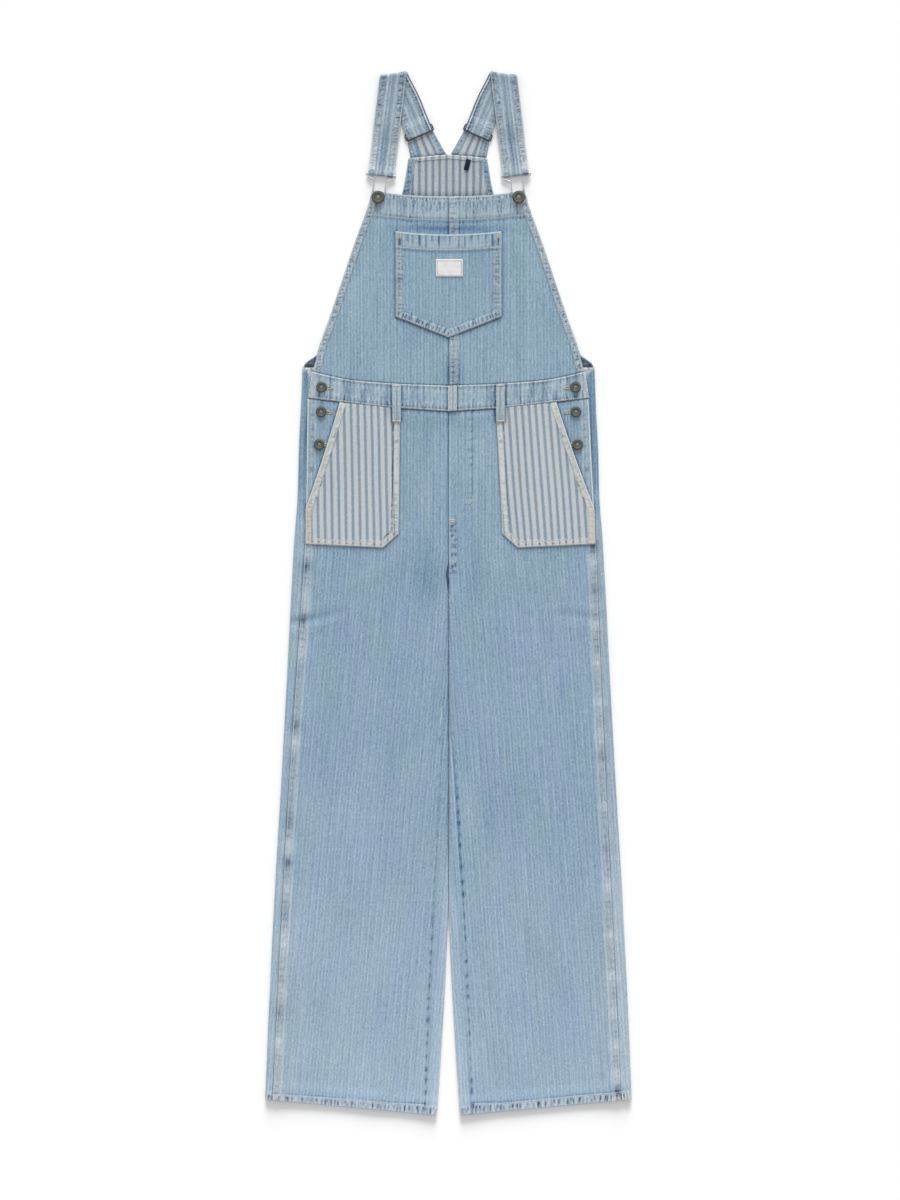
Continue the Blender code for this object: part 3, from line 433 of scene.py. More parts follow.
def cloth_material(name, stops, weights, stripe=None):
    """Cloth whose tint runs through colour stops: the yarns, each with its weight, and the piece's own
    dark values (the wash's dark places and painted shade) and worn places add up to the tint. Worn
    places, and the painted shade at the crotch and in the back bib's corners, lose three fifths of
    their colour to a warm grey, their specks are stronger, and wide stripes fade there. The drift
    turns the colour greener here and bluer there. `stripe` is the colour of wide woven stripes."""
    made, tree = new_material(name)
    cut = node(tree, "ShaderNodeUVMap", uv_map="cut")
    dark, wear_and_shade = own(tree, "dark"), own(tree, "wear_and_shade")
    parts = node(tree, "ShaderNodeGroup", {}, node_tree=yarns).node
    tree.links.new(cut, parts.inputs["Cut"])
    yarn = parts.outputs
    parts.inputs["Pitch"].default_value = MM * (STRIPE if stripe is None else WIDE_STRIPE)
    rubbed_speck = maths(tree, "MULTIPLY", yarn["Speck"], maths(tree, "MULTIPLY_ADD", wear_and_shade, 0.3, 1.0))
    tints = (yarn["Fine"], yarn["Broad"], yarn["Slub"], rubbed_speck, yarn["Cloud"], wear_and_shade)
    tint = maths(tree, "ADD", total(tree, (dark, -1.0), *zip(tints, weights)), 0.5)
    warm_grey = (0.205, 0.20, 0.185)
    grey = [(place, (*(0.42 * value + share * sum(c[:3]) for value, share in zip(c, warm_grey)), 1.0))
            for place, c in stops]
    turned = maths(tree, "MULTIPLY_ADD", yarn["Drift"], 1.3 if stripe is None else 1.0, 0.5)
    greener = ramp(tree, tint, *tinged(stops, 0.97, 1.015, 0.93))
    color = mixed(tree, turned, greener, ramp(tree, tint, *tinged(stops, 1.02, 0.985, 1.05)))
    color = mixed(tree, wear_and_shade, color, ramp(tree, tint, *grey))
    if stripe is not None:
        unfaded = maths(tree, "SUBTRACT", yarn["Stripe"], wear_and_shade)
        wide = node(tree, "ShaderNodeMapRange", {0: unfaded, 1: -0.4, 2: 0.9},
                    interpolation_type="SMOOTHSTEP")
        color = mixed(tree, wide, color, ramp(tree, tint, *stripe))
    rough = maths(tree, "MULTIPLY_ADD", yarn["Slub"], 0.15, 0.88)
    finished(tree, {"Base Color": color, "Roughness": rough, "Specular IOR Level": 0.18,
                    "Sheen Weight": 0.08, "Sheen Roughness": 0.5}, yarn["Height"], 0.5, 0.0004)
    return made


DENIM_STOPS = ((0.0, linear(52, 78, 116)), (0.25, linear(100, 128, 157)), (0.5, linear(138, 163, 182)),
               (0.75, linear(168, 189, 205)), (1.0, linear(204, 212, 217)))
denim = cloth_material("washed_denim_cloth", DENIM_STOPS, (0.115, 0.02, 0.37, 0.30, 0.16, 0.02))
strap_denim = cloth_material("plain_denim_cloth", DENIM_STOPS, (0.04, 0.02, 0.42, 0.34, 0.16, 0.02))
reverse = cloth_material(
    "striped_reverse_cloth",
    ((0.0, linear(104, 118, 134)), (0.5, linear(191, 196, 200)), (1.0, linear(218, 220, 219))),
    (0.0, 0.0, 0.2, 0.18, 0.1, 0.08),
    ((0.0, linear(60, 78, 102)), (0.5, linear(132, 149, 165)), (1.0, linear(178, 190, 198))))


def placed(label, points, faces, finishes):
    """Smooth mesh of points in millimetres at the origin, with its finishes, in the scene."""
    mesh = bpy.data.meshes.new(label)
    mesh.from_pydata((points.reshape(-1, 3) * MM).tolist(), [], faces)
    mesh.polygons.foreach_set("use_smooth", np.ones(len(faces), bool))
    for finish in finishes:
        mesh.materials.append(finish)
    piece = bpy.data.objects.new(label, mesh)
    bpy.context.collection.objects.link(piece)
    return piece


def cloth(label, points, wall, cut, dark, wear_and_shade, faces=(denim, reverse), up=1.0, lift=0.0):
    """Closed wall of cloth on a grid of points (x, y, z) of its outer face.

    The grid's normals, turned to the side that `up` names, carry the outer face out by `lift` and
    the inner face in by `wall`, and a rim of quads joins the two. `cut` is each point's place in
    the cut cloth, across and along the grain, which the stripes follow.
    """
    points = np.stack(points, -1)
    rows, columns = points.shape[:2]
    normals = np.cross(np.gradient(points, axis=1), np.gradient(points, axis=0))
    turned_round = normals[..., 2].sum() * up < 0.0
    normals /= np.linalg.norm(normals, axis=2, keepdims=True) * (-1.0 if turned_round else 1.0)
    outer = points + normals * (np.zeros((rows, columns)) + lift)[..., None]
    inner = outer - normals * (np.zeros((rows, columns)) + wall)[..., None]
    index = np.arange(rows * columns).reshape(rows, columns)
    quads = np.stack((index[:-1, :-1], index[:-1, 1:], index[1:, 1:], index[1:, :-1]), -1).reshape(-1, 4)
    edge = np.concatenate((index[0, :-1], index[:-1, -1], index[-1, :0:-1], index[:0:-1, 0]))
    after = np.roll(edge, -1)
    rim = np.stack((after, edge, edge + index.size, after + index.size), -1)
    quads = np.concatenate((quads, quads[:, ::-1] + index.size, rim))
    if turned_round:
        quads = quads[:, ::-1]
    piece = placed(label, np.concatenate((outer, inner)), quads.tolist(), faces)
    mesh = piece.data
    places = np.tile(np.stack(np.broadcast_arrays(*cut), -1).reshape(-1, 2) * MM, (2, 1))
    mesh.uv_layers.new(name="cut").data.foreach_set("uv", places[quads.ravel()].ravel())
    for key, value in (("dark", dark), ("wear_and_shade", wear_and_shade)):
        values = np.tile((np.zeros((rows, columns)) + value).ravel(), 2)
        mesh.attributes.new(key, "FLOAT", "POINT").data.foreach_set("value", values)
    inside = np.zeros(len(quads), np.int32)
    inside[(rows - 1) * (columns - 1):2 * (rows - 1) * (columns - 1)] = 1
    mesh.polygons.foreach_set("material_index", inside)
    return piece


def dress(piece, stands_for):
    """Stand a cloth piece in for the node it replaces: hide that node's part and hang the piece on the
    root body.
    """
    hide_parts(stands_for)
    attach(piece, "root")


def joined(*runs):
    """Stations from 0 to 1 in runs (end, steps), so that a grid is finer where detail is."""
    stations, start = [np.zeros(1)], 0.0
    for end, steps in runs:
        stations.append(np.linspace(start, end, steps + 1)[1:])
        start = end
    return np.concatenate(stations)


# levels from the hem up; near the hem they follow its line, and at the top the waist edge
HEM_LEVELS = (0, 0.8, 2, 3.5, 5, 6.5, 8, 9.5, 11, 12.5, 14, 15.2, 16.6, 18.5, 21)
LEVELS = np.concatenate((
    HEM_MIDDLE_Y + np.array(HEM_LEVELS), np.linspace(-720.0, -20.0, 196), np.linspace(-15.0, 10.0, 9),
    np.linspace(13.0, 23.0, 9), np.linspace(26.0, 282.0, 76)))
BACK_TOP_Y, FRONT_TOP_Y = 325.0, 266.0  # middle of the top edges, which the last levels follow


def level(base, across, top_edge, top_middle):
    """Place along the garment of a level: its own y, bent to the hem line and to the top edge."""
    hem_share = 1.0 - smooth(HEM_MIDDLE_Y + 24.0, -600.0, base)
    top_share = smooth(150.0, LEVELS[-1], base)
    bent = base + (hem_line(across) - HEM_MIDDLE_Y) * hem_share
    return bent + (top_edge(across) - top_middle) * top_share


def lap(y):
    """How far the leg back has sunk below the front's edge: 0 below the opening, 1 along it."""
    return smooth(96.0, 120.0, y)


def strip_height(side, across, y, wall):
    """Outer face of the leg back where it lies beside or below the front."""
    return laid(side * across, y) + wall * (1.0 - lap(y)) - SEAM_GAP * lap(y)


def inner_turn(side, distance, y, wall):
    """Place across and height on a leg's inner fold, at a distance round it from the ground: half a
    circle, then flat on the front."""
    edge = along(INNER_FOLD, y)
    radius = 0.5 * (laid(side * (edge + 2.0), y) + wall)
    angle = np.minimum(distance / radius, math.pi)
    past = np.maximum(distance - math.pi * radius, 0.0)
    across = edge + radius - radius * np.sin(angle) + past
    on_top = laid(side * across, y) + wall
    return across, np.where(past > 0.0, on_top, radius - radius * np.cos(angle))


def inseam_distance(side, y, wall):
    """Distance of the inseam round the inner fold, from the ground."""
    radius = 0.5 * (laid(side * (along(INNER_FOLD, y) + 2.0), y) + wall)
    return math.pi * radius * along(INSEAM, y, 1) + along(INSEAM, y, 2)


def inseam_gap(y):
    """Half the gap along the inseam between front and back, wider where the legs meet."""
    return 0.06 + 0.3 * smooth(-60.0, 0.0, y)


def below_crotch(y):
    """1 where the leg turns round its inner fold, 0 above the crotch, where the halves meet."""
    return 1.0 - smooth(14.0, 22.0, y)


DOT_PITCH = 17.0


def inseam_dots(side, across, y):
    """Dark spots beside the felled inseam where it draws the cloth in, each of its own place, length
    and depth, with a thin crease through them, strongest on the left leg's upper part."""
    off = across - along(INNER_FOLD, y) - 2.4 - along(INSEAM, y, 2)
    total = np.zeros(off.shape)
    for step in (-1, 0, 1):
        k = np.floor(y / DOT_PITCH) + step
        middle = DOT_PITCH * (k + 0.5 + 0.35 * (chance(k, 6 + side) - 0.5))
        half, width = 2.2 + 3.0 * chance(k, 7 + side), 1.5 + 1.2 * chance(k, 8 + side)
        total += (0.35 + 0.65 * chance(k, 9 + side)) * spot(y - middle, off, half, width)
    total = total * smooth(-190.0, -330.0, y) * (1.0 if side > 0 else smooth(-440.0, -520.0, y) + 0.3)
    thin = 0.7 * bell(off + 2.0, 0.9) - 0.28 * bell(off + 4.4, 1.4)
    if side > 0:
        return total + thin * smooth(-200.0, -250.0, y) * smooth(-440.0, -350.0, y)
    return total + 0.15 * thin * smooth(-300.0, -480.0, y)


def grain(side, across, y):
    """Place in the cut cloth: the stripes lean outwards down the legs and stand upright above."""
    bent = np.where(y < 60.0, y - 60.0, 0.0)
    return across + (0.088 if side < 0 else 0.072) * bent + 400.0 * (side + 1), y


def back_top_edge(across):
    """Top of the leg back, below the waistband and up to the side fold."""
    return BACK_WAIST_Y + (SIDE_TOP_Y - BACK_WAIST_Y) * (across / SIDE_TOP_X) ** 2


def underlap_top_edge(across):
    """Top of the leg back where it has come round onto the front."""
    return SIDE_TOP_Y - 0.75 * (SIDE_TOP_X - across)


INNER_SHARES, FLAT_SHARES = np.linspace(1.0, 0.0, 13)[:-1], np.linspace(0.0, 1.0, 25)[:-1]
FOLD_SHARES, STRIP_SHARES = np.linspace(0.0, 1.0, 11)[:-1], np.linspace(0.0, 1.0, 13)
UNDERLAP = 32.0


def back_grid(side):
    """Grid of a leg back: round the inner fold, over the ground, round the side fold, onto the front."""
    base = LEVELS[:, None] + 43.0 * smooth(150.0, LEVELS[-1], LEVELS[:, None])
    inner_y = level(base, along(INNER_FOLD, base) + 3.0, back_top_edge, BACK_TOP_Y)
    inner_wall = hem_wall(inner_y - hem_line(along(INNER_FOLD, inner_y)))
    below = below_crotch(base)
    reach = inseam_distance(side, inner_y, inner_wall) - inseam_gap(inner_y)
    start = inner_turn(side, 0.0 * inner_y, inner_y, inner_wall)[0]
    turned_x, turned_z = inner_turn(side, reach * INNER_SHARES, inner_y, inner_wall)
    flat_x = SEAM_GAP / 2 + 4.0 * (1.0 - INNER_SHARES)
    first_x, first_z = turned_x * below + flat_x * (1.0 - below), turned_z * below
    start = start * below + (SEAM_GAP / 2 + 4.0) * (1.0 - below)

    outer_y = level(base, along(SIDE_FOLD, base) - 8.0, underlap_top_edge, BACK_TOP_Y)
    fold = along(SIDE_FOLD, outer_y)
    wall = hem_wall(outer_y - hem_line(fold))
    swelled = 1.0 - 0.05 * outseam_puckers(side, outseam(side, outer_y) - 4.0, outer_y)
    radius = 0.5 * strip_height(side, fold - 3.0, outer_y, wall) * swelled
    ground_x = start + (fold - radius - start) * FLAT_SHARES
    angle = math.pi * FOLD_SHARES
    round_x, round_z = fold - radius + radius * np.sin(angle), radius - radius * np.cos(angle)
    opened = smooth(132.0, 140.0, outer_y)
    strip_end = outseam(side, outer_y) + SEAM_GAP / 2 - (UNDERLAP + SEAM_GAP / 2) * opened
    strip_x = fold - radius + (strip_end - fold + radius) * STRIP_SHARES
    across = np.concatenate((first_x, ground_x, round_x, strip_x), axis=1)
    first, ground = len(INNER_SHARES), len(INNER_SHARES) + len(FLAT_SHARES)
    y = level(base, across, back_top_edge, BACK_TOP_Y)
    y[:, ground:] = level(base, across[:, ground:], underlap_top_edge, BACK_TOP_Y)
    strip_y = y[:, -len(STRIP_SHARES):]
    strip_z = strip_height(side, strip_x, strip_y, hem_wall(strip_y - hem_line(strip_x))) * swelled
    # soft hollows in the cloth on the ground: the front's creases, moved aside and mirrored
    hollow = -0.5 * creased(-side * (across[:, first:ground] - 12.0), y[:, first:ground] + 60.0)
    height = np.concatenate((first_z, np.clip(hollow, 0.0, 0.35), round_z, strip_z), axis=1)
    return across, y, height


for word, side in SIDES:
    across, y, height = back_grid(side)
    rise = y - hem_line(across)
    folds = hem_folds(side, across, rise)
    strip = smooth(-4.0, 3.0, across - outseam(side, y) + 14.0) * (1.0 - lap(y))
    dark = blotted(side * across, y) + 0.85 * folds - 0.06 * band(rise, -1.0, 12.0)
    dark += 0.2 * outseam_puckers(side, across, y) * strip
    dark += 0.45 * inseam_dots(side, across, y)
    dark -= (0.06 + (0.05 if side < 0 else 0.09) * smooth(-250.0, -420.0, y)) * strip
    # painted shadow on the back strip beside the front's edge, stronger where the front laps over it
    # above the hip
    dark += bell(across - outseam(side, y) - 1.4, 1.2) * ((0.1 if side < 0 else 0.02) + 0.2 * lap(y))
    from_fold = across - along(INNER_FOLD, y)
    # painted shade in the groove between the legs along the inner fold, turning to a paler line towards
    # the hem
    dark += (0.12 - 0.4 * smooth(-330.0, -450.0, y)) * bell(from_fold, 2.0)
    dark -= 0.12 * bell(from_fold - 6.0, 7.0) * smooth(-330.0, -480.0, y)
    inside_lap = band(y, 150.0, 330.0, 12.0) * smooth(-16.0, -6.0, across - along(SIDE_FOLD, y))
    dark += (0.08 if side < 0 else 0.16) * inside_lap
    top_band = band(underlap_top_edge(across) - y, -2.0, 5.0)
    top_band *= smooth(-60.0, -20.0, across - outseam(side, y))
    dark -= 0.13 * top_band
    dark += 0.12 * bell(rise - 13.0, 1.4)
    wear_and_shade = (0.12 if side < 0 else 0.28) * strip + 0.8 * top_band + 0.5 * band(rise, -1.0, 12.5)
    piece = cloth(f"back_{word}_cloth", (side * across, y, height), hem_wall(rise),
                  grain(side, across, y), dark, np.clip(wear_and_shade, 0.0, 1.0), up=-1.0)
    dress(piece, f"back_{word}")


# ---------------- leg fronts
# Two panels of the same denim from hem to waistband, joined at the centre front. The outseams and
# the centre seam are felled: one seam allowance is folded over the other and sewn down, which leaves
# a raised, faded band. A J of stitches marks a fly that doesn't open.

HIP_POCKET = (
    # inner edge x, inner edge y, outer edge x, outer edge y
    (97.6, 66, 210.2, 71.2), (75, 86.4, 210, 96), (74.6, 108, 209.6, 120.8),
    (73.6, 132, 204.3, 136.6), (72, 176, 188, 182), (70.6, 221, 172.7, 227),
    (69.2, 267.8, 157, 277.2),
)
HIP_OUTLINE = tuple(row[:2] for row in HIP_POCKET[::-1]) + tuple(row[2:] for row in HIP_POCKET)
FLY_X, FLY_TURN_Y, FLY_LOW_Y = 35.5, 150.0, 108.0
LOOP_AT = 75.2
FRONT_SHARES = joined((0.03, 5), (0.88, 84), (1.0, 18))
FRONT_TURNS = np.linspace(0.0, 1.0, 9)[:-1]


def from_outline(x, y, outline):
    """Distance from the nearest side of an outline, and the place along the outline nearest to it."""
    nearest, place, before = np.full(np.broadcast(x, y).shape, 1e9), 0.0, 0.0
    for (x0, y0), (x1, y1) in zip(outline, outline[1:]):
        dx, dy, size = x1 - x0, y1 - y0, math.hypot(x1 - x0, y1 - y0)
        share = np.clip(((x - x0) * dx + (y - y0) * dy) / size ** 2, 0.0, 1.0)
        gap = np.hypot(x - x0 - share * dx, y - y0 - share * dy)
        place = np.where(gap < nearest, before + share * size, place)
        nearest, before = np.minimum(gap, nearest), before + size
    return nearest, place


def from_hip_pocket(side, across, y):
    """Distance from a hip pocket's outline, which sways with the outseam, and the place along it."""
    return from_outline(across - side * along(SWAY, y), y, HIP_OUTLINE)


def uneven(run, pitch, seed):
    """Chance values at every whole pitch of a run, 0 to 1, with eased steps between them."""
    k, share = np.floor(run / pitch), smooth(0.0, 1.0, run / pitch % 1.0)
    return chance(k, seed) * (1.0 - share) + chance(k + 1.0, seed) * share


def fly_line(y):
    """The fly's stitches: straight down from the waistband, then a quarter turn to the centre seam."""
    fall = (FLY_TURN_Y - np.minimum(y, FLY_TURN_Y)) / (FLY_TURN_Y - FLY_LOW_Y)
    return FLY_X * np.sqrt(np.clip(1.0 - fall ** 2, 0.0, 1.0))


def leg_front_top(side, across, y):
    """Outer face of a leg front: the cloth on what it lies on, raised where the felled seams and the
    side opening's turned edge are and drawn in by the puckers of the outseam, hem and inseam."""
    rise = y - hem_line(across)
    inside = outseam(side, y) - across
    opening = smooth(88.0, 100.0, y)
    height = laid(side * across, y) + hem_wall(rise)
    height += 0.75 * band(inside, 1.0, 10.6, 0.9) * (1.0 - opening)
    height += 0.5 * band(inside, 1.2, 12.6, 0.9) * opening
    height -= 0.55 * outseam_puckers(side, across, y) * (1.0 - opening)
    if side > 0:
        height += 0.6 * band(across, 2.4, 12.8, 0.8) * band(y, 32.0, 106.0, 6.0)
    height -= 0.4 * hem_folds(side, across, rise)
    height -= 0.25 * bell(rise - hem_stitches(side, across), 1.6)
    return height - 0.5 * inseam_dots(side, across, y)


def front_grid(side):
    """Grid of a leg front: from the inseam round the inner fold's top, then flat to the outseam."""
    def top_edge(across):
        return along(WAIST_EDGES, across, 2) - SEAM_GAP

    base = LEVELS[:, None] - 16.0 * smooth(200.0, LEVELS[-1], LEVELS[:, None])
    inner_y = level(base, along(INNER_FOLD, base) + 6.0, top_edge, FRONT_TOP_Y)
    wall = hem_wall(inner_y - hem_line(along(INNER_FOLD, inner_y)))
    below = below_crotch(base)
    seam = inseam_distance(side, inner_y, wall) + inseam_gap(inner_y)
    half_turn = math.pi * 0.5 * (laid(side * (along(INNER_FOLD, inner_y) + 2.0), inner_y) + wall)
    reach = np.maximum(half_turn, seam) + 1.5
    turned_x, turned_z = inner_turn(side, seam + (reach - seam) * FRONT_TURNS, inner_y, wall)
    flat_x = SEAM_GAP / 2 + 4.0 * FRONT_TURNS
    first_x = turned_x * below + flat_x * (1.0 - below)
    start = inner_turn(side, reach, inner_y, wall)[0] * below + (SEAM_GAP / 2 + 4.0) * (1.0 - below)
    outer_y = level(base, outseam(side, base), top_edge, FRONT_TOP_Y)
    end = outseam(side, outer_y) - SEAM_GAP / 2
    across = np.concatenate((first_x, start + (end - start) * FRONT_SHARES), axis=1)
    y = level(base, across, top_edge, FRONT_TOP_Y)
    height = leg_front_top(side, across, y)
    first = len(FRONT_TURNS)
    folded = turned_z - (laid(side * turned_x, inner_y) + wall)
    height[:, :first] += np.minimum(folded, 0.0) * below
    return across, y, height


WAIST_EDGES = (
    # distance from the centre line, top edge, bottom edge
    (0, 301.2, 263.8), (82, 304.6, 269.4), (150, 310.9, 276.9), (204, 322.9, 283.2),
)
for word, side in SIDES:
    across, y, height = front_grid(side)
    rise, inside = y - hem_line(across), outseam(side, y) - across
    opening = smooth(88.0, 100.0, y)
    felled = band(inside, 0.5, 11.0, 0.8) * (1.0 - opening)
    worn = 0.65 + 0.5 * uneven(y, 31.0, 3)
    line = hem_stitches(side, across)
    dark = blotted(side * across, y) + 0.85 * hem_folds(side, across, rise)
    dark -= 0.12 * band(rise, -1.0, 10.0)
    dark -= 0.1 * bell(rise - line, 0.8)
    dark += 0.14 * bell(rise - 13.2, 1.3)
    dark += 0.3 * bell(rise - line - 2.2, 0.9) * (0.4 + 0.6 * chance(np.floor(across / 6.0), 11))
    for at_x, at_y, half, long_half, amount in HEM_MARKS:
        dark += amount * spot(side * across - at_x - 0.1 * (y - at_y), y - at_y, half, long_half)
    dark += 0.36 * outseam_puckers(side, across, y)
    dark -= 0.03 * felled
    dark += 0.22 * puckers(y, inside, 9.0, 1.0, 10.4) * felled
    for at, amount in ((1.4, -0.2), (11.4, -0.18), (12.9, -0.14), (3.2, 0.08), (8.6, 0.05)):
        dark += amount * bell(inside - at, 0.9) * (1.0 - opening)
    # painted shade at the front's edge, in the gap at the outseam and along the side opening
    dark += (0.06 + 0.14 * opening if side < 0 else 0.06 * opening) * bell(inside - 0.1, 0.7)
    dark += 0.74 * inseam_dots(side, across, y)
    edge_folds = puckers(y, inside, 6.2, 4.5, 12.5)
    dark += opening * (0.3 * edge_folds - 0.65 * bell(inside - 1.2, 1.0) + 0.16 * bell(inside - 3.4, 1.0))
    dark -= 0.1 * opening * (bell(inside - 13.6, 1.0) + bell(inside - 6.0, 1.0))
    wear_and_shade = 0.55 * felled * worn + 0.3 * opening * band(inside, -1.0, 13.0) + 0.45 * band(rise, -1.0, line)
    wear_and_shade += 0.2 * smooth(-360.0, -520.0, y) * bell(inside - 14.0, 26.0) * (1.0 - felled)
    # painted shadow round the hip pocket, stronger along its slanted opening
    gap = from_hip_pocket(side, across, y)[0]
    opening_side = smooth(136.0, 150.0, y) * smooth(110.0, 130.0, across)
    dark += (0.16 + 0.26 * opening_side) * bell(gap - 0.2, 1.3)
    dark += (0.01 + 0.06 * opening_side) * bell(gap, 4.5)
    # painted shadow beside the belt loops
    dark += 0.3 * bell(np.abs(across - LOOP_AT) - 7.6, 1.6) * smooth(246.0, 250.0, y)
    if side > 0:
        fly = (across - fly_line(y)) * smooth(FLY_LOW_Y - 4.0, FLY_LOW_Y + 6.0, y)
        on_fly = smooth(FLY_LOW_Y - 6.0, FLY_LOW_Y + 6.0, y)
        seam_band = band(across, 1.6, 12.8, 0.8) * band(y, 28.0, 108.0, 5.0)
        dark += (0.5 * puckers(y, across, 3.1, 2.0, 8.0) + 0.1) * seam_band
        dark += 0.55 * puckers(y + 2.0, 14.0 - across, 2.7, 2.0, 9.0) * seam_band
        dark -= 0.16 * bell(across - 2.4, 0.9) * smooth(30.0, 44.0, y)
        fly_folds = 0.3 * puckers(y, 6.0 + 0.0 * y, 9.5, 2.0, 10.0) * bell(fly + 3.0, 4.0)
        fly_folds += 0.34 * bell(fly, 1.0) * smooth(120.0, 150.0, y)
        dark += (fly_folds - 0.1 * bell(fly - 2.4, 1.1)) * on_fly
        wear_and_shade = np.maximum(wear_and_shade, 0.16 * seam_band)
    dark += (0.42 if side < 0 else 0.2) * bell(across, 1.3) * smooth(-10.0, 6.0, y)
    # painted shade: a dark slot for the opening between the legs at the crotch, greyed as well
    crotch_slot_shade = bell(side * across + 0.6 + 1.8 * bell(y - 27.0, 8.0), 1.3) * band(y, 10.0, 38.0, 7.0)
    dark, wear_and_shade = dark + 1.1 * crotch_slot_shade, np.maximum(wear_and_shade, 0.7 * crotch_slot_shade)
    # painted shade in the groove between the legs along the inner fold
    groove_shade = bell(across - along(INNER_FOLD, y), 1.2)
    dark += 0.12 * groove_shade * smooth(-470.0, -430.0, y) * smooth(30.0, 14.0, y)
    below_band = along(WAIST_EDGES, across, 2) - y
    # painted shadow below the waistband's lower edge
    dark += 0.16 * bell(below_band, 1.8)
    dark += 0.25 * puckers(side * across, below_band, 10.0, 0.0, 9.0)
    dark -= 0.07 * bell(below_band - 7.0, 3.0) * band(side * across, -6.0, 56.0, 5.0)
    piece = cloth(f"front_{word}_cloth", (side * across, y, height), hem_wall(rise),
                  grain(side, across, y), dark, np.clip(wear_and_shade, 0.0, 1.0))
    dress(piece, f"front_{word}")

# ---------------- waistband
# One doubled strip of denim over both fronts, from side opening to side opening, turned in along
# all its edges and sewn close to them, which puckers it from edge to edge.

WAIST_COLUMNS = joined((0.03, 6), (0.97, 230), (1.0, 6))
WAIST_ROWS = joined((0.06, 3), (0.94, 18), (1.0, 3))
STRIP_AT = 5.8


def waist_edges(x):
    """Bottom and top edge of the waistband at a place across."""
    return along(WAIST_EDGES, np.abs(x), 2), along(WAIST_EDGES, np.abs(x), 1)


def waist_end(share):
    """Half length of the waistband, whose ends lean inwards from its bottom edge (0) to its top (1)."""
    return 204.0 - 6.2 * share


def waist_folds(x, share):
    """Puckers of the waistband, 0 to 1: a few millimetres wide at both edges and running into the
    band, longer and softer towards its sides."""
    fine = puckers(x, 4.0 + 0.0 * x, 8.3, 2.0, 9.0) * (bell(share, 0.34) + bell(1.0 - share, 0.4))
    wide = puckers(x + 7.0, 4.0 + 12.0 * (share - 0.5), 19.0, -9.0, 14.0)
    wide *= 0.35 + 0.5 * smooth(60.0, 190.0, np.abs(x))
    return np.clip(0.9 * fine + 0.8 * wide, -0.3, 1.3)


def waistband_top(x, y):
    """Outer face of the waistband: rolled edges, puckers between them."""
    low, high = waist_edges(x)
    share = (y - low) / (high - low)
    near = np.minimum(y - low, high - y)
    return laid(x, y) + DOUBLED + 0.35 - 0.5 * bell(near, 1.0) - 0.55 * waist_folds(x, share)


end = waist_end(WAIST_ROWS[:, None])
x = end * (2.0 * WAIST_COLUMNS - 1.0)
low, high = waist_edges(x)
y = low + (high - low) * WAIST_ROWS[:, None]
share = WAIST_ROWS[:, None] + 0.0 * x
near = np.minimum(np.minimum(y - low, high - y), end - np.abs(x))
dark = blotted(x, y) + 0.4 * waist_folds(x, share) - 0.08 * bell(near - 1.2, 0.9)
dark += 0.46 * puckers(x, y - low, 5.3, 1.6, 13.0, 0.1)
dark += 0.24 * puckers(x + 3.0, high - y, 6.1, 2.4, 11.0, 0.1)
dark = dark - 0.06 + 0.14 * bell(near - 3.6, 1.2) - 0.07 * bell(near - 9.0, 2.2)
# painted shadow beside the belt loops
for at in (-LOOP_AT, LOOP_AT):
    dark += 0.5 * bell(np.abs(x - at) - 7.8, 1.9) * smooth(0.02, 0.12, share)
for at in (-142.0, -120.0, 122.0, 141.0, 96.0, -48.0, 60.0):
    dark += 0.14 * bell(x - at, 6.0) * smooth(0.0, 0.5, share)
# painted shadow beside the centre strip
dark += 0.4 * bell(np.abs(x - STRIP_AT) - 7.6, 1.4)
at_end = end - np.abs(x)
dark -= 0.12 * band(at_end, -1.0, 7.4)
dark += 0.2 * (bell(at_end - 2.6, 0.7) + bell(at_end - 5.4, 0.7))
wear_and_shade = np.maximum(0.2 + 0.35 * bell(near, 4.0), 0.7 * band(at_end, -1.0, 7.4))
piece = cloth("waistband_cloth", (x, y, waistband_top(x, y)), DOUBLED - 0.1, (x, y), dark, wear_and_shade)
dress(piece, "waistband")

# ---------------- bib
# Two halves of denim joined by a felled seam at the centre and sewn to the waistband. Their top is
# turned down and sewn 35 mm below the edge, and their slanted sides are narrowly hemmed.

BIB_SIDE = (
    # y, half width of the front bib
    (321, 197.6), (333, 193.6), (353, 189.2), (396.4, 174), (454.4, 154.4), (512.4, 134.9),
    (555.9, 118.9), (586, 110.3),
)
BIB_TOP_CENTRE, BIB_TOP_RISE, BIB_TOP_HALF = 575.8, 9.8, BIB_SIDE[-1][1]
FACING_CENTRE, FACING_RISE, FACING_HALF = 541.3, 9.2, 117.6
BIB_LOW_Y = WAIST_EDGES[0][1]
BIB_LEAN = 0.945  # cosine of the lean of the bib's sides
POCKET_HALF, POCKET_HEAD, POCKET_FOOT = 77.0, (520.3, 525.0), (370.8, 401.1)
POCKET_OUTLINE = ((-77, 525), (-77, 401.1), (0, 370.8), (77, 401.1), (77, 525))
BIB_COLUMNS = joined((0.02, 2), (0.09, 5), (0.9, 66), (1.0, 10))
BIB_ROWS = joined((0.85, 112), (0.995, 22), (1.0, 2))


def bib_top_line(x):
    """Top edge of the bib: its corners stand above its middle."""
    return BIB_TOP_CENTRE + BIB_TOP_RISE * (np.abs(x) / BIB_TOP_HALF) ** 2.6


def facing_line(x):
    """Lower stitches of the bib's turned top."""
    return FACING_CENTRE + FACING_RISE * (np.abs(x) / FACING_HALF) ** 2


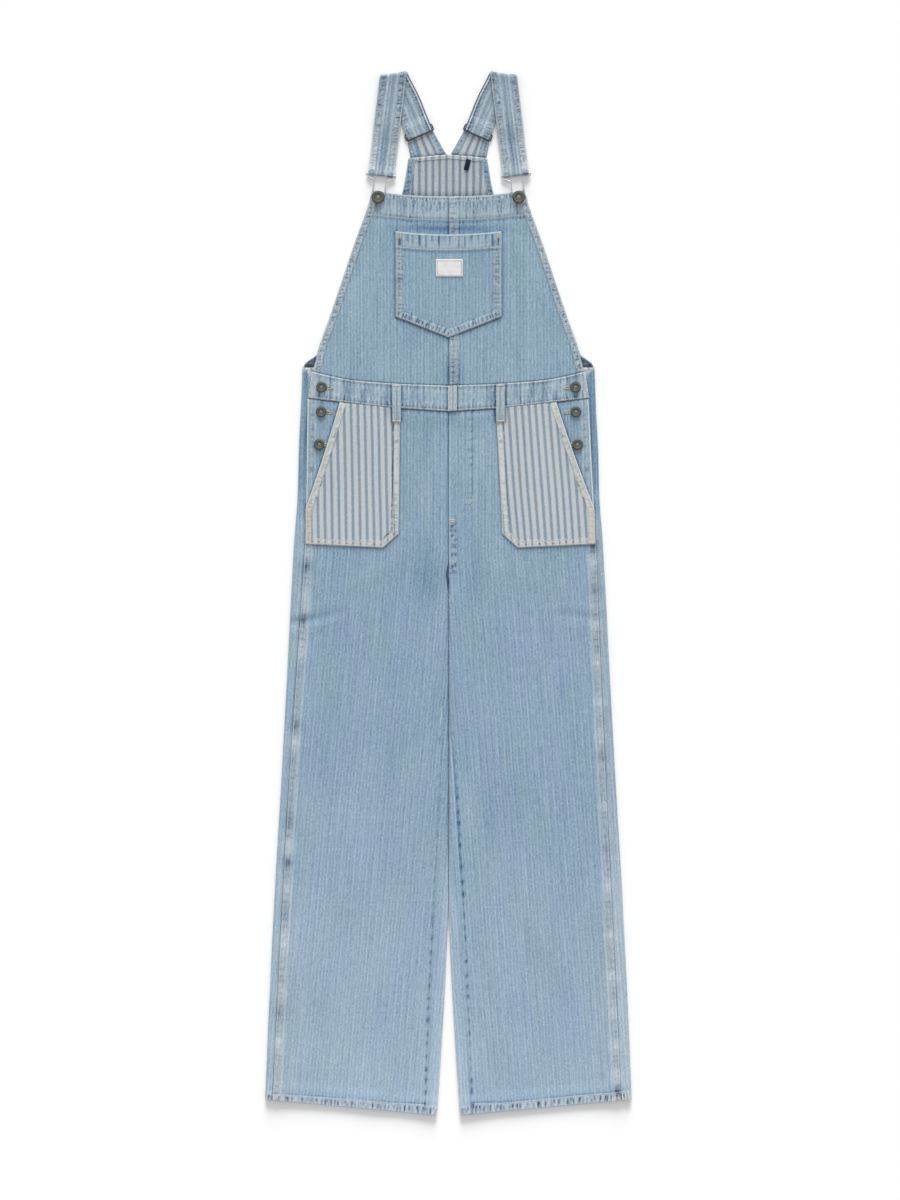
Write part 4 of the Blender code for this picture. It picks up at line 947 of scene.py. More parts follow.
def bib_top(x, y):
    """Outer face of the bib: thicker in its turned top and side hems, raised over the centre seam's
    allowance, drawn in at its stitches."""
    edge = (along(BIB_SIDE, y) - np.abs(x)) * BIB_LEAN
    below, facing = bib_top_line(x) - y, y - facing_line(x)
    height = laid(x, y) + CLOTH + 1.1 * smooth(-1.5, 1.5, facing)
    height += 0.6 * band(edge, 0.8, 9.4, 0.8) * (1.0 - smooth(-1.5, 1.5, facing))
    height += 0.55 * band(x, 1.4, 14.8, 0.8)
    height -= 0.4 * puckers(x, below, 5.1, 2.8, 9.0)
    height -= 0.35 * puckers(y, edge, 6.4, 2.2, 8.4)
    height -= 0.3 * bell(facing, 1.2)
    return height - 0.5 * bell(np.minimum(edge, below), 1.0)


def bib_place(outward, up):
    """Place of the bib: outward 0 at the centre seam to 1 at the side, up 0 at the waistband to 1."""
    y = BIB_LOW_Y + (BIB_TOP_CENTRE - BIB_LOW_Y) * up + 0.0 * outward
    for _ in range(4):
        across = SEAM_GAP / 2 + (along(BIB_SIDE, y) - SEAM_GAP / 2) * outward
        low = along(WAIST_EDGES, across, 1) + SEAM_GAP
        y = low + (bib_top_line(across) - low) * up
    return across, y


for word, side in SIDES:
    across, y = bib_place(BIB_COLUMNS[None, :], BIB_ROWS[:, None])
    x = side * across
    edge, below = (along(BIB_SIDE, y) - across) * BIB_LEAN, bib_top_line(across) - y
    facing = y - facing_line(across)
    on_facing = band(facing, 1.0, 27.0, 2.0)
    top_folds = puckers(x, below, 4.3, 2.0, 7.0) + 0.5 * puckers(x + 1.7, below, 3.4, 2.2, 6.0)
    edge_folds = puckers(y + 40.0 * side, edge, 5.6, 2.0, 8.4)
    streaks = 0.26 * (puckers(x + 3.0, below - 0.5 * np.sin(x), 5.9, -9.0, 30.0) * on_facing)
    streaks += 0.36 * puckers(x, below, 3.7, -9.0, 30.0) * on_facing
    dark = blotted(x, y) + 0.8 * top_folds + 0.7 * edge_folds + streaks + 0.02 * band(edge, -1.0, 8.8)
    dark -= 0.22 * bell(np.minimum(edge, below), 1.1)
    wave = 0.7 * np.sin(x / 5.3) + 0.5 * np.sin(x / 13.0)
    dark -= 0.26 * bell(facing + 0.4 * wave, 1.2)
    dark += 0.2 * puckers(x, -facing, 6.3, 1.0, 9.0) * smooth(1.0, -1.0, facing)
    dark += (0.2 + 0.1 * wave) * bell(facing + 3.0, 1.4)
    dark += 0.03 * smooth(0.0, 3.0, facing)
    dark += 0.12 * bell(edge - 10.4, 1.1) * (1.0 - smooth(-3.0, 0.0, facing))
    # painted shadow round the bib pocket
    gap = from_outline(x, y, POCKET_OUTLINE)[0]
    dark += 0.4 * bell(gap, 1.4)
    dark += 0.06 * bell(gap, 5.0)
    if side > 0:
        seam_band = band(across, 1.0, 14.8, 0.8)
        dark += 0.4 * puckers(y, across, 6.6, 2.0, 13.0) * seam_band
        dark -= 0.12 * (bell(across - 2.6, 0.9) + bell(across - 13.6, 0.9))
        dark += 0.22 * bell(across - 15.6, 1.1)
    dark += (0.45 if side < 0 else 0.2) * bell(across, 1.2)
    # painted shade along the waistband's top edge
    dark += 0.08 * bell(y - along(WAIST_EDGES, across, 1), 1.8)
    seam_rub = (0.35 if side > 0 else 0.0) * band(across, 1.0, 14.8)
    wear_and_shade = np.maximum(0.55 * band(edge, -1.0, 9.4), np.maximum(0.35 * smooth(-1.0, 2.0, facing), seam_rub))
    piece = cloth(f"bib_{word}_cloth", (x, y, bib_top(x, y)), CLOTH + 1.1 * smooth(-1.5, 1.5, facing),
                  (x, y), dark, wear_and_shade)
    dress(piece, f"bib_{word}")

# ---------------- back bib
# The back of the bib, one panel that narrows from the waist to the strap ends. It lies on the
# ground with its striped reverse upwards; its sides are turned in as denim strips.

BACK_PEAK, BACK_CORNER, BACK_DROP = 637.2, 632.0, 5.2
BACK_LEAN = 0.93  # cosine of the lean of the back bib's sides


def both_ways(*runs):
    """Stations from -1 to 1: the same runs on either side of 0."""
    half = joined(*runs)
    return np.concatenate((-half[:0:-1], half))


up = joined((0.7, 40), (1.0, 40))[:, None]
share = both_ways((0.86, 40), (1.0, 12))[None, :]
y = BACK_WAIST_Y + (BACK_PEAK - BACK_WAIST_Y) * up + 0.0 * share
for _ in range(4):
    across = along(BACK_BIB_SIDE, y) * np.abs(share)
    low = back_top_edge(across) + SEAM_GAP
    y = low + (BACK_PEAK - (BACK_PEAK - BACK_CORNER) * np.abs(share) - low) * up
x = across * np.sign(share)
edge = (along(BACK_BIB_SIDE, y) - across) * BACK_LEAN
below = BACK_PEAK - BACK_DROP * np.abs(share) - y


def back_bib_top(x, y):
    """Inner face of the back bib, which lies upwards, with its hemmed sides and top raised."""
    edge = (along(BACK_BIB_SIDE, y) - np.abs(x)) * BACK_LEAN
    below = BACK_PEAK - BACK_DROP * np.abs(x) / along(BACK_BIB_SIDE, y) - y
    height = CLOTH + 0.5 * band(edge, 0.6, 9.2, 0.7) + 0.4 * band(below, 0.4, 6.6, 0.6)
    return height - 0.3 * puckers(y, edge, 6.6, 2.0, 8.0) - 0.4 * bell(edge, 0.9)


def refinished(piece, where, number):
    """Give the outer face's quads that begin at the marked points the piece's finish of a number."""
    quads = where[:-1, :-1].ravel()
    finish = np.zeros(len(piece.data.polygons), np.int32)
    piece.data.polygons.foreach_get("material_index", finish)
    finish[:quads.size][quads] = number
    piece.data.polygons.foreach_set("material_index", finish)


dark = 0.11 + 0.6 * puckers(y, edge, 6.6, 2.0, 8.0) - 0.3 * bell(edge, 1.2) + 0.08 * band(edge, 1.0, 9.0)
dark -= 0.34 * bell(below - 1.4, 1.3)
dark += 0.5 * puckers(x, below, 5.4, 2.0, 6.6) * smooth(1.0, 4.0, below)
dark += 0.14 * bell(below - 7.4, 1.2) * smooth(8.0, 12.0, edge)
# painted shade in the back bib's lower corners, whose inside lies in shadow at the armholes; it is greyed
# as well
corner_shade = smooth(372.0, 362.0, y) * smooth(1.5, 4.0, edge) * smooth(170.0, 176.0, across)
dark += 0.36 * corner_shade
dark += 0.4 * puckers(x + 0.4 * y, edge, 2.9, -2.0, 30.0) * corner_shade
# painted shade on the back bib along the front bib's top edge
dark += 0.22 * bell(y - bib_top_line(x) - 1.0, 5.0) * (1.0 - smooth(100.0, 130.0, across))
shifted = x - smooth(470.0, 570.0, y)  # its top lies a millimetre towards the right
height = back_bib_top(x, y)
# worn hems, and the grey of the painted corner shade
wear_and_shade = np.maximum(0.3 * band(edge, -1.0, 9.2), 0.9 * corner_shade)
piece = cloth("back_bib_cloth", (shifted, y, height), height, (shifted + 3.0, y), dark, wear_and_shade,
              faces=(reverse, denim))
refinished(piece, (edge < 9.0) | ((y < 372.0) & (across > 150.0)), 1)
dress(piece, "back_bib")

# ---------------- bib pocket and its patch
# A patch pocket with a pointed foot, its top hemmed deep and its other edges turned in and sewn on
# with two rows, with a tack at each top corner. A bare white woven patch is sewn on it.


def pocket_head(x):
    """Top edge of the bib pocket, a little slack in the middle."""
    return POCKET_HEAD[0] + (POCKET_HEAD[1] - POCKET_HEAD[0]) * (x / POCKET_HALF) ** 2


def bib_pocket_top(x, y):
    """Outer face of the bib pocket: turned edges and hem raised, stitches drawn in, mouth slack."""
    edge, run = from_outline(x, y, POCKET_OUTLINE)
    below = pocket_head(x) - y
    height = laid(x, y) + 2 * CLOTH + LAYER_GAP + 0.3
    height += 0.55 * np.maximum(band(edge, 0.6, 9.8, 0.8), band(below, 0.6, 22.4, 0.8))
    height -= 0.5 * puckers(run, edge, 7.4, 2.6, 9.0) * (1.0 - band(below, -5.0, 21.0))
    height -= 0.35 * puckers(x, 5.0 + 0.12 * below, 10.2, 2.0, 9.0) * band(below, 2.0, 21.0, 2.0)
    height -= 0.6 * bell(np.minimum(edge, below), 0.9)
    return height + 0.9 * bell(below, 26.0) * (1.0 - (x / POCKET_HALF) ** 2)


POCKET_MARKS = (
    # x, y, how dark: soft dents beside the pocket's stitches
    (-72, 452, 0.2), (-61, 401, 0.2), (-66, 508, 0.16), (68, 508, 0.2), (70, 436, 0.1), (69, 398, 0.15),
)
share = both_ways((0.85, 44), (1.0, 11))[None, :]
up = joined((0.09, 9), (0.82, 60), (1.0, 18))[:, None]
x = POCKET_HALF * share + 0.0 * up
low = POCKET_FOOT[0] + (POCKET_FOOT[1] - POCKET_FOOT[0]) * np.abs(share)
y = low + (pocket_head(x) - low) * up
edge, run = from_outline(x, y, POCKET_OUTLINE)
below = pocket_head(x) - y
hem = band(below, -1.0, 22.6)
foot = smooth(412.0, 402.0, y)
dark = (0.4 + 0.35 * foot) * puckers(run, edge, 5.4, 3.2, 12.0, 0.16) * (1.0 - hem)
dark -= 0.24 * bell(np.minimum(edge, below), 1.0)
dark += 0.02 * hem
dark += 0.65 * puckers(x, 5.0 + 0.12 * below, 9.6, 2.0, 9.0) * band(below, 2.0, 20.0, 2.0)
dark -= 0.26 * bell(below - 22.4, 1.2)
dark += 0.22 * bell(below - 25.4, 1.5)
dark += 0.08 * bell(edge - 12.6, 1.3) * (1.0 - hem)
for at_x, at_y, amount in POCKET_MARKS:
    dark += amount * spot(x - at_x, y - at_y, 5.0, 8.0)
wear_and_shade = np.maximum(0.35 * band(edge, -1.0, 11.0), 0.25 * hem)
piece = cloth("bib_pocket_cloth", (x, y, bib_pocket_top(x, y)), CLOTH + 0.3, (x + 2.0, y), dark, wear_and_shade)
dress(piece, "bib_pocket")

patch_cloth, tree = new_material("white_woven_patch")
place = node(tree, "ShaderNodeTexCoord", output=3)
weave, smudge = noise(tree, place, 1400.0), noise(tree, place, 90.0, 2.0)
tint = total(tree, (weave, 0.35), (smudge, 0.3), (own(tree, "dark"), -1.0))
color = ramp(tree, tint, (0.0, linear(128, 124, 124)), (0.3, linear(224, 222, 222)),
             (0.6, linear(244, 242, 242)))
finished(tree, {"Base Color": color, "Roughness": 0.75, "Specular IOR Level": 0.25}, weave, 0.4)

PATCH_HALF, PATCH_PLACE = (19.5, 12.5), (1.2, 471.8)
side_x, side_y = np.linspace(-1.0, 1.0, 53)[None, :], np.linspace(-1.0, 1.0, 35)[:, None]
x = PATCH_PLACE[0] + PATCH_HALF[0] * side_x + 0.0 * side_y
y = PATCH_PLACE[1] + PATCH_HALF[1] * side_y + 0.0 * side_x
edge = np.minimum(PATCH_HALF[0] * (1.0 - np.abs(side_x)), PATCH_HALF[1] * (1.0 - np.abs(side_y)))
height = bib_pocket_top(x, y) + LAYER_GAP + 0.9 + 0.2 * band(edge, 0.3, 2.8, 0.5) - 0.3 * bell(edge, 0.6)
height -= 0.2 * bell(edge - 1.6, 0.5)
dark = 0.2 * bell(edge - 2.2, 0.35) - 0.08 * band(edge, -1.0, 1.5, 0.3)
piece = cloth("pocket_patch_cloth", (x, y, height), 0.9, (x, y), dark, 0.0,
              faces=(patch_cloth, patch_cloth))
dress(piece, "pocket_label")

# ---------------- hip pockets
# Two patch pockets sewn on with the striped reverse of the cloth outside. The slanted side is the
# opening, whose narrow hem is cream; the short side below it is turned in with a tan edge.


def past_opening(across, y):
    """Distance outwards from the straight line of the slanted opening."""
    return (across - HIP_POCKET[3][2]) * 0.945 + (y - HIP_POCKET[3][3]) * 0.327


def hip_pocket_top(side, across, y):
    """Outer face of a hip pocket: turned edges raised, stitches drawn in, opening a little slack."""
    edge, run = from_hip_pocket(side, across, y)
    height = laid(side * across, y) + 2 * CLOTH + LAYER_GAP + 0.25 + 0.5 * band(edge, 0.6, 9.4, 0.8)
    height -= 0.4 * puckers(run, edge, 6.8, 2.4, 8.6)
    height -= 0.55 * bell(edge, 0.9)
    return height + 0.8 * bell(past_opening(across, y), 16.0) * band(y, 150.0, 262.0, 14.0)


cream_edge, tan_edge = (
    cloth_material(name, tuple(zip((0.0, 0.5, 1.0), (linear(*color) for color in colors))),
                   (0.0, 0.0, 0.2, 0.2, 0.1, 0.08))
    for name, colors in (("cream_turned_edge", ((74, 92, 116), (178, 187, 190), (214, 217, 213))),
                         ("tan_turned_edge", ((112, 108, 102), (192, 187, 175), (216, 211, 202)))))
HIP_ROWS = np.concatenate((joined((1.0, 12)), 1.0 + joined((5.0, 80))[1:]))
HIP_COLUMNS = joined((0.09, 8), (0.9, 52), (1.0, 9))[None, :]
for word, side in SIDES:
    rows = [np.interp(HIP_ROWS, range(7), [row[k] for row in HIP_POCKET])[:, None] for k in range(4)]
    y = rows[1] + (rows[3] - rows[1]) * HIP_COLUMNS
    across = rows[0] + (rows[2] - rows[0]) * HIP_COLUMNS + side * along(SWAY, y)
    edge, run = from_hip_pocket(side, across, y)
    x = side * across
    unswayed = across - side * along(SWAY, y)
    slanted = band(4.0 * smooth(140.0, 270.0, y) - past_opening(unswayed, y), -2.0, 11.8, 0.6)
    slanted *= smooth(134.0, 140.0, y)
    cut = (x + 99.9 + (0.018 * (y - 170.0) if side < 0 else 0.08 * y - 97.9), y)
    dark = 0.4 * puckers(run, edge, 4.9, 2.4, 8.8) - 0.4 * bell(edge - 1.3, 1.1) - 0.04 * slanted
    low_edge = smooth(124.0, 112.0, y) * smooth(70.0, 80.0, across)
    ticks = smooth(0.2, 0.95, np.cos(2 * math.pi * cut[0] / WIDE_STRIPE))
    ticks *= 0.2 + 0.2 * chance(np.floor(cut[0] / WIDE_STRIPE + 0.5), 12)
    dark += ticks * band(edge, 2.4, 6.6, 1.4) * low_edge * smooth(201.0, 199.0, across)
    dark += 0.6 * puckers(run + 2.0, edge, 3.7, 5.0, 12.0) * slanted
    dark += 0.16 * bell(edge - 3.2, 0.7)
    inner_side = smooth(98.0, 88.0, across)
    gaps = (0.85 if side < 0 else 0.42) * bell(edge - 9.9, 0.8) * (0.3 + chance(np.floor(run / 4.3), 4))
    dark += gaps * (0.2 + 0.8 * inner_side)
    outer_corner = smooth(198.0, 202.0, across) * smooth(144.0, 138.0, y)
    dark -= side * (0.04 * inner_side * band(edge, -1.0, 9.9) + 0.06 * outer_corner)
    # painted shadow below the waistband and beside the belt loops; the blot at x -89 is painted shade
    # beside the right belt loop, the other two the wash's paler places
    dark += 0.3 * bell(along(WAIST_EDGES, across, 2) - y, 2.4)
    dark += 0.4 * bell(np.abs(across - LOOP_AT) - 7.6, 1.6) * smooth(244.0, 248.0, y)
    dark += blotted(x, y, ((-130, 120, 30, 40, -0.02), (150, 150, 30, 60, -0.03), (-89, 262, 4, 9, 0.16)))
    piece = cloth(f"hip_pocket_{word}_cloth", (x, y, hip_pocket_top(side, across, y)), CLOTH + 0.2, cut,
                  dark, 0.6 * band(edge, -1.0, 9.0), faces=(reverse, denim, cream_edge, tan_edge))
    refinished(piece, slanted > 0.5, 2)
    refinished(piece, (edge < 8.6) & (y < 140.0) & (unswayed > 200.8), 3)
    dress(piece, f"hip_pocket_{word}")

# ---------------- belt loops and centre strip
# Strips of denim folded to their width, sewn along both edges. The loops stand over the waistband
# and are tacked down above and below it; the centre strip covers the seam of the waistband.

LOOP_HALF, LOOP_ENDS = 6.1, (248.5, 302.2)
LOOP_COLUMNS, LOOP_ROWS = np.linspace(-1.0, 1.0, 19)[None, :], np.linspace(0.0, 1.0, 61)[:, None]


def loop_top(side, x, y):
    """Outer face of a belt loop: over the waistband and the hip pocket, arched between its tacks."""
    low, high = waist_edges(x)
    seat = laid(x, y) + np.where((y > low) & (y < high), DOUBLED, CLOTH)
    seat = np.maximum(seat, laid(x, y) + 2 * CLOTH + LAYER_GAP)
    share = np.clip((y - LOOP_ENDS[0]) / (LOOP_ENDS[1] - LOOP_ENDS[0]), 0.0, 1.0)
    off = np.abs(x - side * LOOP_AT)
    rolled = 0.3 * band(off, 2.2, 5.8, 0.7) - 0.35 * bell(off - LOOP_HALF, 0.7)
    tacks = bell(share - 0.04, 0.03) + bell(share - 0.96, 0.03)
    return seat + LAYER_GAP + 1.8 + 1.15 * np.sin(math.pi * share) + 0.35 + rolled - 0.4 * tacks


def centre_strip_top(x, y):
    """Outer face of the centre strip, which lies on the waistband."""
    off = np.abs(x - STRIP_AT)
    height = laid(x, y) + DOUBLED + LAYER_GAP + 2.1 + 0.3 * band(off, 2.4, 5.9, 0.7)
    return height - 0.35 * bell(off - 6.5, 0.7)


for word, side in SIDES:
    x = side * LOOP_AT + LOOP_HALF * LOOP_COLUMNS + 0.0 * LOOP_ROWS
    y = LOOP_ENDS[0] + (LOOP_ENDS[1] - LOOP_ENDS[0]) * LOOP_ROWS + 0.0 * x
    off = np.abs(x - side * LOOP_AT)
    dark = -0.06 + 0.12 * bell(off, 1.4) - 0.26 * bell(off - 5.4, 0.9)
    dark += 0.3 * puckers(y, off, 5.0, 2.5, 5.0)
    piece = cloth(f"belt_loop_{word}_cloth", (x, y, loop_top(side, x, y)), 1.8, (x, y), dark, 0.56)
    dress(piece, f"belt_loop_{word}")

share, up = np.linspace(0.0, 1.0, 19)[None, :], np.linspace(0.0, 1.0, 41)[:, None]
x = -0.7 + 13.0 * share + 0.0 * up
low, high = waist_edges(x)
y = low + 0.5 + (high - low - 1.0) * up
off = np.abs(x - STRIP_AT)
dark = -0.16 + 0.2 * bell(off, 1.3) - 0.16 * bell(off - 6.2, 0.9) + 0.3 * puckers(y, off, 6.0, 2.5, 5.0)
piece = cloth("centre_strip_cloth", (x, y, centre_strip_top(x, y)), 1.8, (x, y), dark, 0.8)
dress(piece, "centre_loop")

# ---------------- shoulder straps
# Long strips of doubled denim, sewn twice along each edge. Each comes up from its slider over the
# shoulder fold, runs down the front, turns round the hook's bar and goes back the same way onto the
# slider. The strap ends below the sliders are sewn to the back bib with their reverse upwards.

STRAP_WIDTH, FOLD_PLACE, FRONT_RUN, BACK_RUN = 38.0, np.array((79.8, 754.4)), 147.8, 98.0
FOLD_INNER, FOLD_OUTER, FOLD_DEPTH = 2.1, 3.6, 4.2
BAR_WRAP, BAR_HEIGHT, SLIDER_GAP = 2.0, 3.7, 12.0
FRONT_LEVELS = (
    # distance from the fold, height of the middle between the two layers
    (4.2, 7.05), (22, 5.4), (74, 5.1), (106, 2.2), (125, 2.1), (147.8, 3.7),
)
lean, tilt = math.radians(7.0), math.radians(8.2)
RUN, ACROSS = np.array((math.sin(lean), -math.cos(lean))), np.array((math.cos(lean), math.sin(lean)))
FOLD_LINE = np.array((math.cos(tilt), -math.sin(tilt)))
FOLD_NORMAL = np.array((-math.sin(tilt), -math.cos(tilt)))
BACK_DIRECTION = RUN - 2.0 * (RUN @ FOLD_LINE) * FOLD_LINE
BACK_ACROSS = 2.0 * (ACROSS @ FOLD_LINE) * FOLD_LINE - ACROSS
SQUARE, SLANT = RUN @ FOLD_NORMAL, ACROSS @ FOLD_NORMAL


def strap_part(run, outer, across):
    """Middle of a strap layer at runs from the shoulder fold, positive down the front.

    The strap is mirrored in the slanted fold line and turns over it on a half circle. Rows stand
    square to the strap far from the fold and parallel to the fold near it. The run down the back
    lies up to 2 mm aside of the mirrored line.
    """
    run = run[:, None]
    aligned = np.where(run > 0.0, 1.0 - smooth(10.0, 66.0, run), 1.0 - smooth(20.0, 52.0, -run))
    radius = FOLD_OUTER if outer else FOLD_INNER
    distance = run * SQUARE + (1.0 - aligned) * across * SLANT
    straight = (distance - across * SLANT) / SQUARE
    along_fold = straight * (RUN @ FOLD_LINE) + across * (ACROSS @ FOLD_LINE)
    angle = 0.5 * math.pi * np.clip(distance / FOLD_DEPTH, -1.0, 1.0)
    turning = np.abs(distance) < FOLD_DEPTH
    depth = np.where(turning, FOLD_DEPTH - radius * np.cos(angle), np.abs(distance))
    height = FOLD_DEPTH + radius * np.sin(angle)
    spread = 1.5 + 2.5 * smooth(FRONT_RUN - 16.0, FRONT_RUN, run)
    level_height = along(FRONT_LEVELS, run) + (0.5 if outer else -0.5) * spread
    height = np.where(distance >= FOLD_DEPTH, level_height, height)
    if not outer:
        rise = 2.7 * smooth(BACK_RUN - 26.0, BACK_RUN - SLIDER_GAP - 1.5, -run)
        height += np.where(distance <= -FOLD_DEPTH, rise, 0.0)
    flat = FOLD_PLACE + along_fold[..., None] * FOLD_LINE + depth[..., None] * FOLD_NORMAL
    aside = 2.0 * smooth(3.0, 44.0, -run) - 1.2 * smooth(50.0, 90.0, -run)
    return np.concatenate((flat - aside[..., None] * BACK_ACROSS, height[..., None]), axis=-1)


def bar_part(angle, across):
    """Half turn of the strap round the hook's bar."""
    run = FRONT_RUN + BAR_WRAP * np.sin(angle)[:, None] + 0.0 * across
    flat = FOLD_PLACE + run[..., None] * RUN + across[..., None] * ACROSS
    height = BAR_HEIGHT + BAR_WRAP * np.cos(angle)[:, None] + 0.0 * across
    return np.concatenate((flat, height[..., None]), axis=-1)


STRAP_ACROSS = STRAP_WIDTH * (both_ways((0.4, 5), (0.9, 9), (1.0, 4)) / 2.0)[None, :]
over_fold = both_ways((1.0, 7)) * (FOLD_DEPTH / SQUARE)
front_runs = np.concatenate((np.linspace(6.5, 136.0, 76), np.linspace(138.0, 145.6, 5)))
OUTER_START, INNER_STEPS = -92.0, 64
OUTER_RUNS = np.concatenate((np.linspace(OUTER_START, -6.5, 36), over_fold, front_runs))
INNER_RUNS = np.concatenate(
    (front_runs[::-1], over_fold[::-1], np.linspace(-6.5, -BACK_RUN + 0.3, INNER_STEPS)))


def strap_points(side):
    """Middle of a whole strap: the outer layer over the fold to the bar, round it and back within."""
    points = np.concatenate((
        strap_part(OUTER_RUNS, True, STRAP_ACROSS), bar_part(np.linspace(0.0, math.pi, 15), STRAP_ACROSS),
        strap_part(INNER_RUNS, False, STRAP_ACROSS)))
    return points * np.array((side, 1.0, 1.0))


def strap_relief(run, edge):
    """Height of the strap's doubled edges above its middle, with the puckers of its stitches."""
    folds = puckers(run, edge, 5.6, 2.4, 9.4)
    return 0.4 * band(edge, 1.0, 10.4, 0.9) - 0.4 * folds - 0.45 * bell(edge, 0.9)


for word, side in SIDES:
    points = strap_points(side)
    middle = points[:, points.shape[1] // 2]
    run = np.concatenate(([0.0], np.cumsum(np.linalg.norm(np.diff(middle, axis=0), axis=1))))[:, None]
    edge = STRAP_WIDTH / 2 - np.abs(STRAP_ACROSS) + 0.0 * run
    run = run + 0.0 * edge + (0.0 if side < 0 else 37.0)
    shifted = run + np.where(STRAP_ACROSS > 0.0, 2.6, 0.0)
    front = run - run.min() + OUTER_START
    on_front = smooth(50.0, 120.0, front) * smooth(150.0, 146.0, front)
    faded = on_front * (0.16 + 0.12 * (STRAP_ACROSS > 0.0)) * band(edge, -1.0, 9.0)
    dark = (0.56 - 0.3 * bell(front, 26.0)) * puckers(shifted, edge, 3.8, 2.2, 8.8) + 0.03
    dark = dark + 0.1 * band(edge, 2.4, 9.4) - 0.3 * bell(edge, 1.0) - faded
    dark += 0.3 * puckers(shifted + 2.0, 11.0 - edge, 3.6, 2.0, 8.0)
    dark += 0.12 * bell(edge - 3.4, 0.8)
    dark -= 0.26 * bell(edge - 12.3, 1.5)
    dark += 0.1 * bell(edge - 15.2, 1.0)
    streak = bell(STRAP_ACROSS + 2.0 * side, 4.0) * bell(run - run.max() / 2 + 42.0, 28.0)
    dark += 0.1 * streak
    # on the run down the back: a painted shadow at one edge of the strap, with a pale and a dark line
    # inside it
    inner_edge = STRAP_WIDTH / 2 + STRAP_ACROSS
    edge_shadow_lines = 1.4 * bell(inner_edge - 0.6, 1.0) - 0.9 * bell(inner_edge - 2.9, 0.9)
    dark[-INNER_STEPS:] += edge_shadow_lines + 0.55 * bell(inner_edge - 4.9, 0.9)
    dark += (0.07 + 0.07 * np.sin(run / 31.0)) * bell(STRAP_ACROSS + 1.0, 1.2)
    dark -= 0.12 * bell(STRAP_ACROSS - 1.4, 1.0)
    wear_and_shade = 0.45 + 0.15 * band(edge, -1.0, 10.4) - 0.3 * streak + 0.6 * faded
    relief = np.maximum(strap_relief(shifted, edge), -0.3)
    piece = cloth(f"strap_{word}_cloth", np.moveaxis(points, -1, 0), CLOTH + 2.0 * relief,
                  (STRAP_ACROSS + 0.0 * run + 4.0, run), dark, wear_and_shade, faces=(strap_denim, strap_denim),
                  lift=CLOTH / 2 + relief)
    # the underside lies on the ground
    pressed = np.empty(len(piece.data.vertices) * 3, np.float32)
    piece.data.vertices.foreach_get("co", pressed)
    pressed[2::3] = np.maximum(pressed[2::3], 0.0)
    piece.data.vertices.foreach_set("co", pressed)
    dress(piece, f"strap_{word}")

    tail_run, ends = BACK_RUN - 6.0 + SEAM_GAP, np.array(((3.6, BACK_PEAK), (55.0, BACK_CORNER + 0.3)))
    share, down_share = np.linspace(0.0, 1.0, 41)[None, :], np.linspace(0.0, 1.0, 25)[:, None]
    head = FOLD_PLACE + BACK_DIRECTION * tail_run + (STRAP_WIDTH * (share - 0.5))[..., None] * BACK_ACROSS
    foot = ends[0] * (1.0 - share[..., None]) + ends[1] * share[..., None] + np.array((0.0, SEAM_GAP))
    flat = head * (1.0 - down_share[..., None]) + foot * down_share[..., None]
    edge = 20.0 * (1.0 - np.abs(2.0 * share - 1.0)) + 0.0 * down_share
    run = 30.0 * down_share + 0.0 * share
    height = CLOTH + 0.4 * band(edge, 0.8, 7.6, 0.7) - 0.3 * puckers(run, edge, 6.0, 2.0, 7.0)
    # the bell at the tail's head is painted shade under the slider and the strap's end
    dark = 0.04 + 0.5 * puckers(run, edge, 4.4, 2.0, 7.0) + 0.2 * bell(run, 5.0)
    dark += 0.12 * bell(run - 29.0, 2.5)
    stripes = 43.2 * share - (0.9 if side < 0 else 7.1) + 0.0 * down_share
    piece = cloth(f"strap_tail_{word}_cloth", (side * flat[..., 0], flat[..., 1], height), height,
                  (stripes, run), dark, 0.4 * band(edge, -1.0, 7.6), faces=(reverse, denim))
    refinished(piece, edge < 6.6 + 3.8 * (share > 0.5), 1)
    dress(piece, f"strap_tail_{word}")

# ---------------- back tab
# A folded loop of dark ribbon caught in the top seam of the back bib, bare.

ribbon, tree = new_material("dark_ribbon")
place = node(tree, "ShaderNodeTexCoord", output=3)
ribs = noise(tree, place, 900.0)
color = ramp(tree, ribs, (0.3, linear(8, 14, 36)), (0.7, linear(20, 34, 62)))
finished(tree, {"Base Color": color, "Roughness": 0.7, "Specular IOR Level": 0.2}, ribs)
TAB_HALF, TAB_PLACE, turn = (3.5, 8.0), (27.3, 621.9), math.radians(-15.0)
side_x = np.linspace(-TAB_HALF[0], TAB_HALF[0], 9)[None, :]
side_y = np.linspace(-TAB_HALF[1], TAB_HALF[1], 19)[:, None]
x = TAB_PLACE[0] + side_x * math.cos(turn) - side_y * math.sin(turn)
y = TAB_PLACE[1] + side_x * math.sin(turn) + side_y * math.cos(turn)
height = CLOTH + LAYER_GAP + 1.3 + 0.5 * np.sin(math.pi * (side_y + 8.0) / 16.0) + 0.0 * side_x
height -= 0.25 * bell(TAB_HALF[0] - np.abs(side_x), 0.5)
piece = cloth("back_tab_cloth", (x, y, height), 1.0, (x, y), 0.0, 0.0, faces=(ribbon, ribbon))
dress(piece, "back_tab")

# ---------------- strap metal
# Each strap hangs in a silvery wire hook, bent from one rod with its foot behind the bib button, and
# is held below the shoulder by a rectangular slider of dark bronze wire.

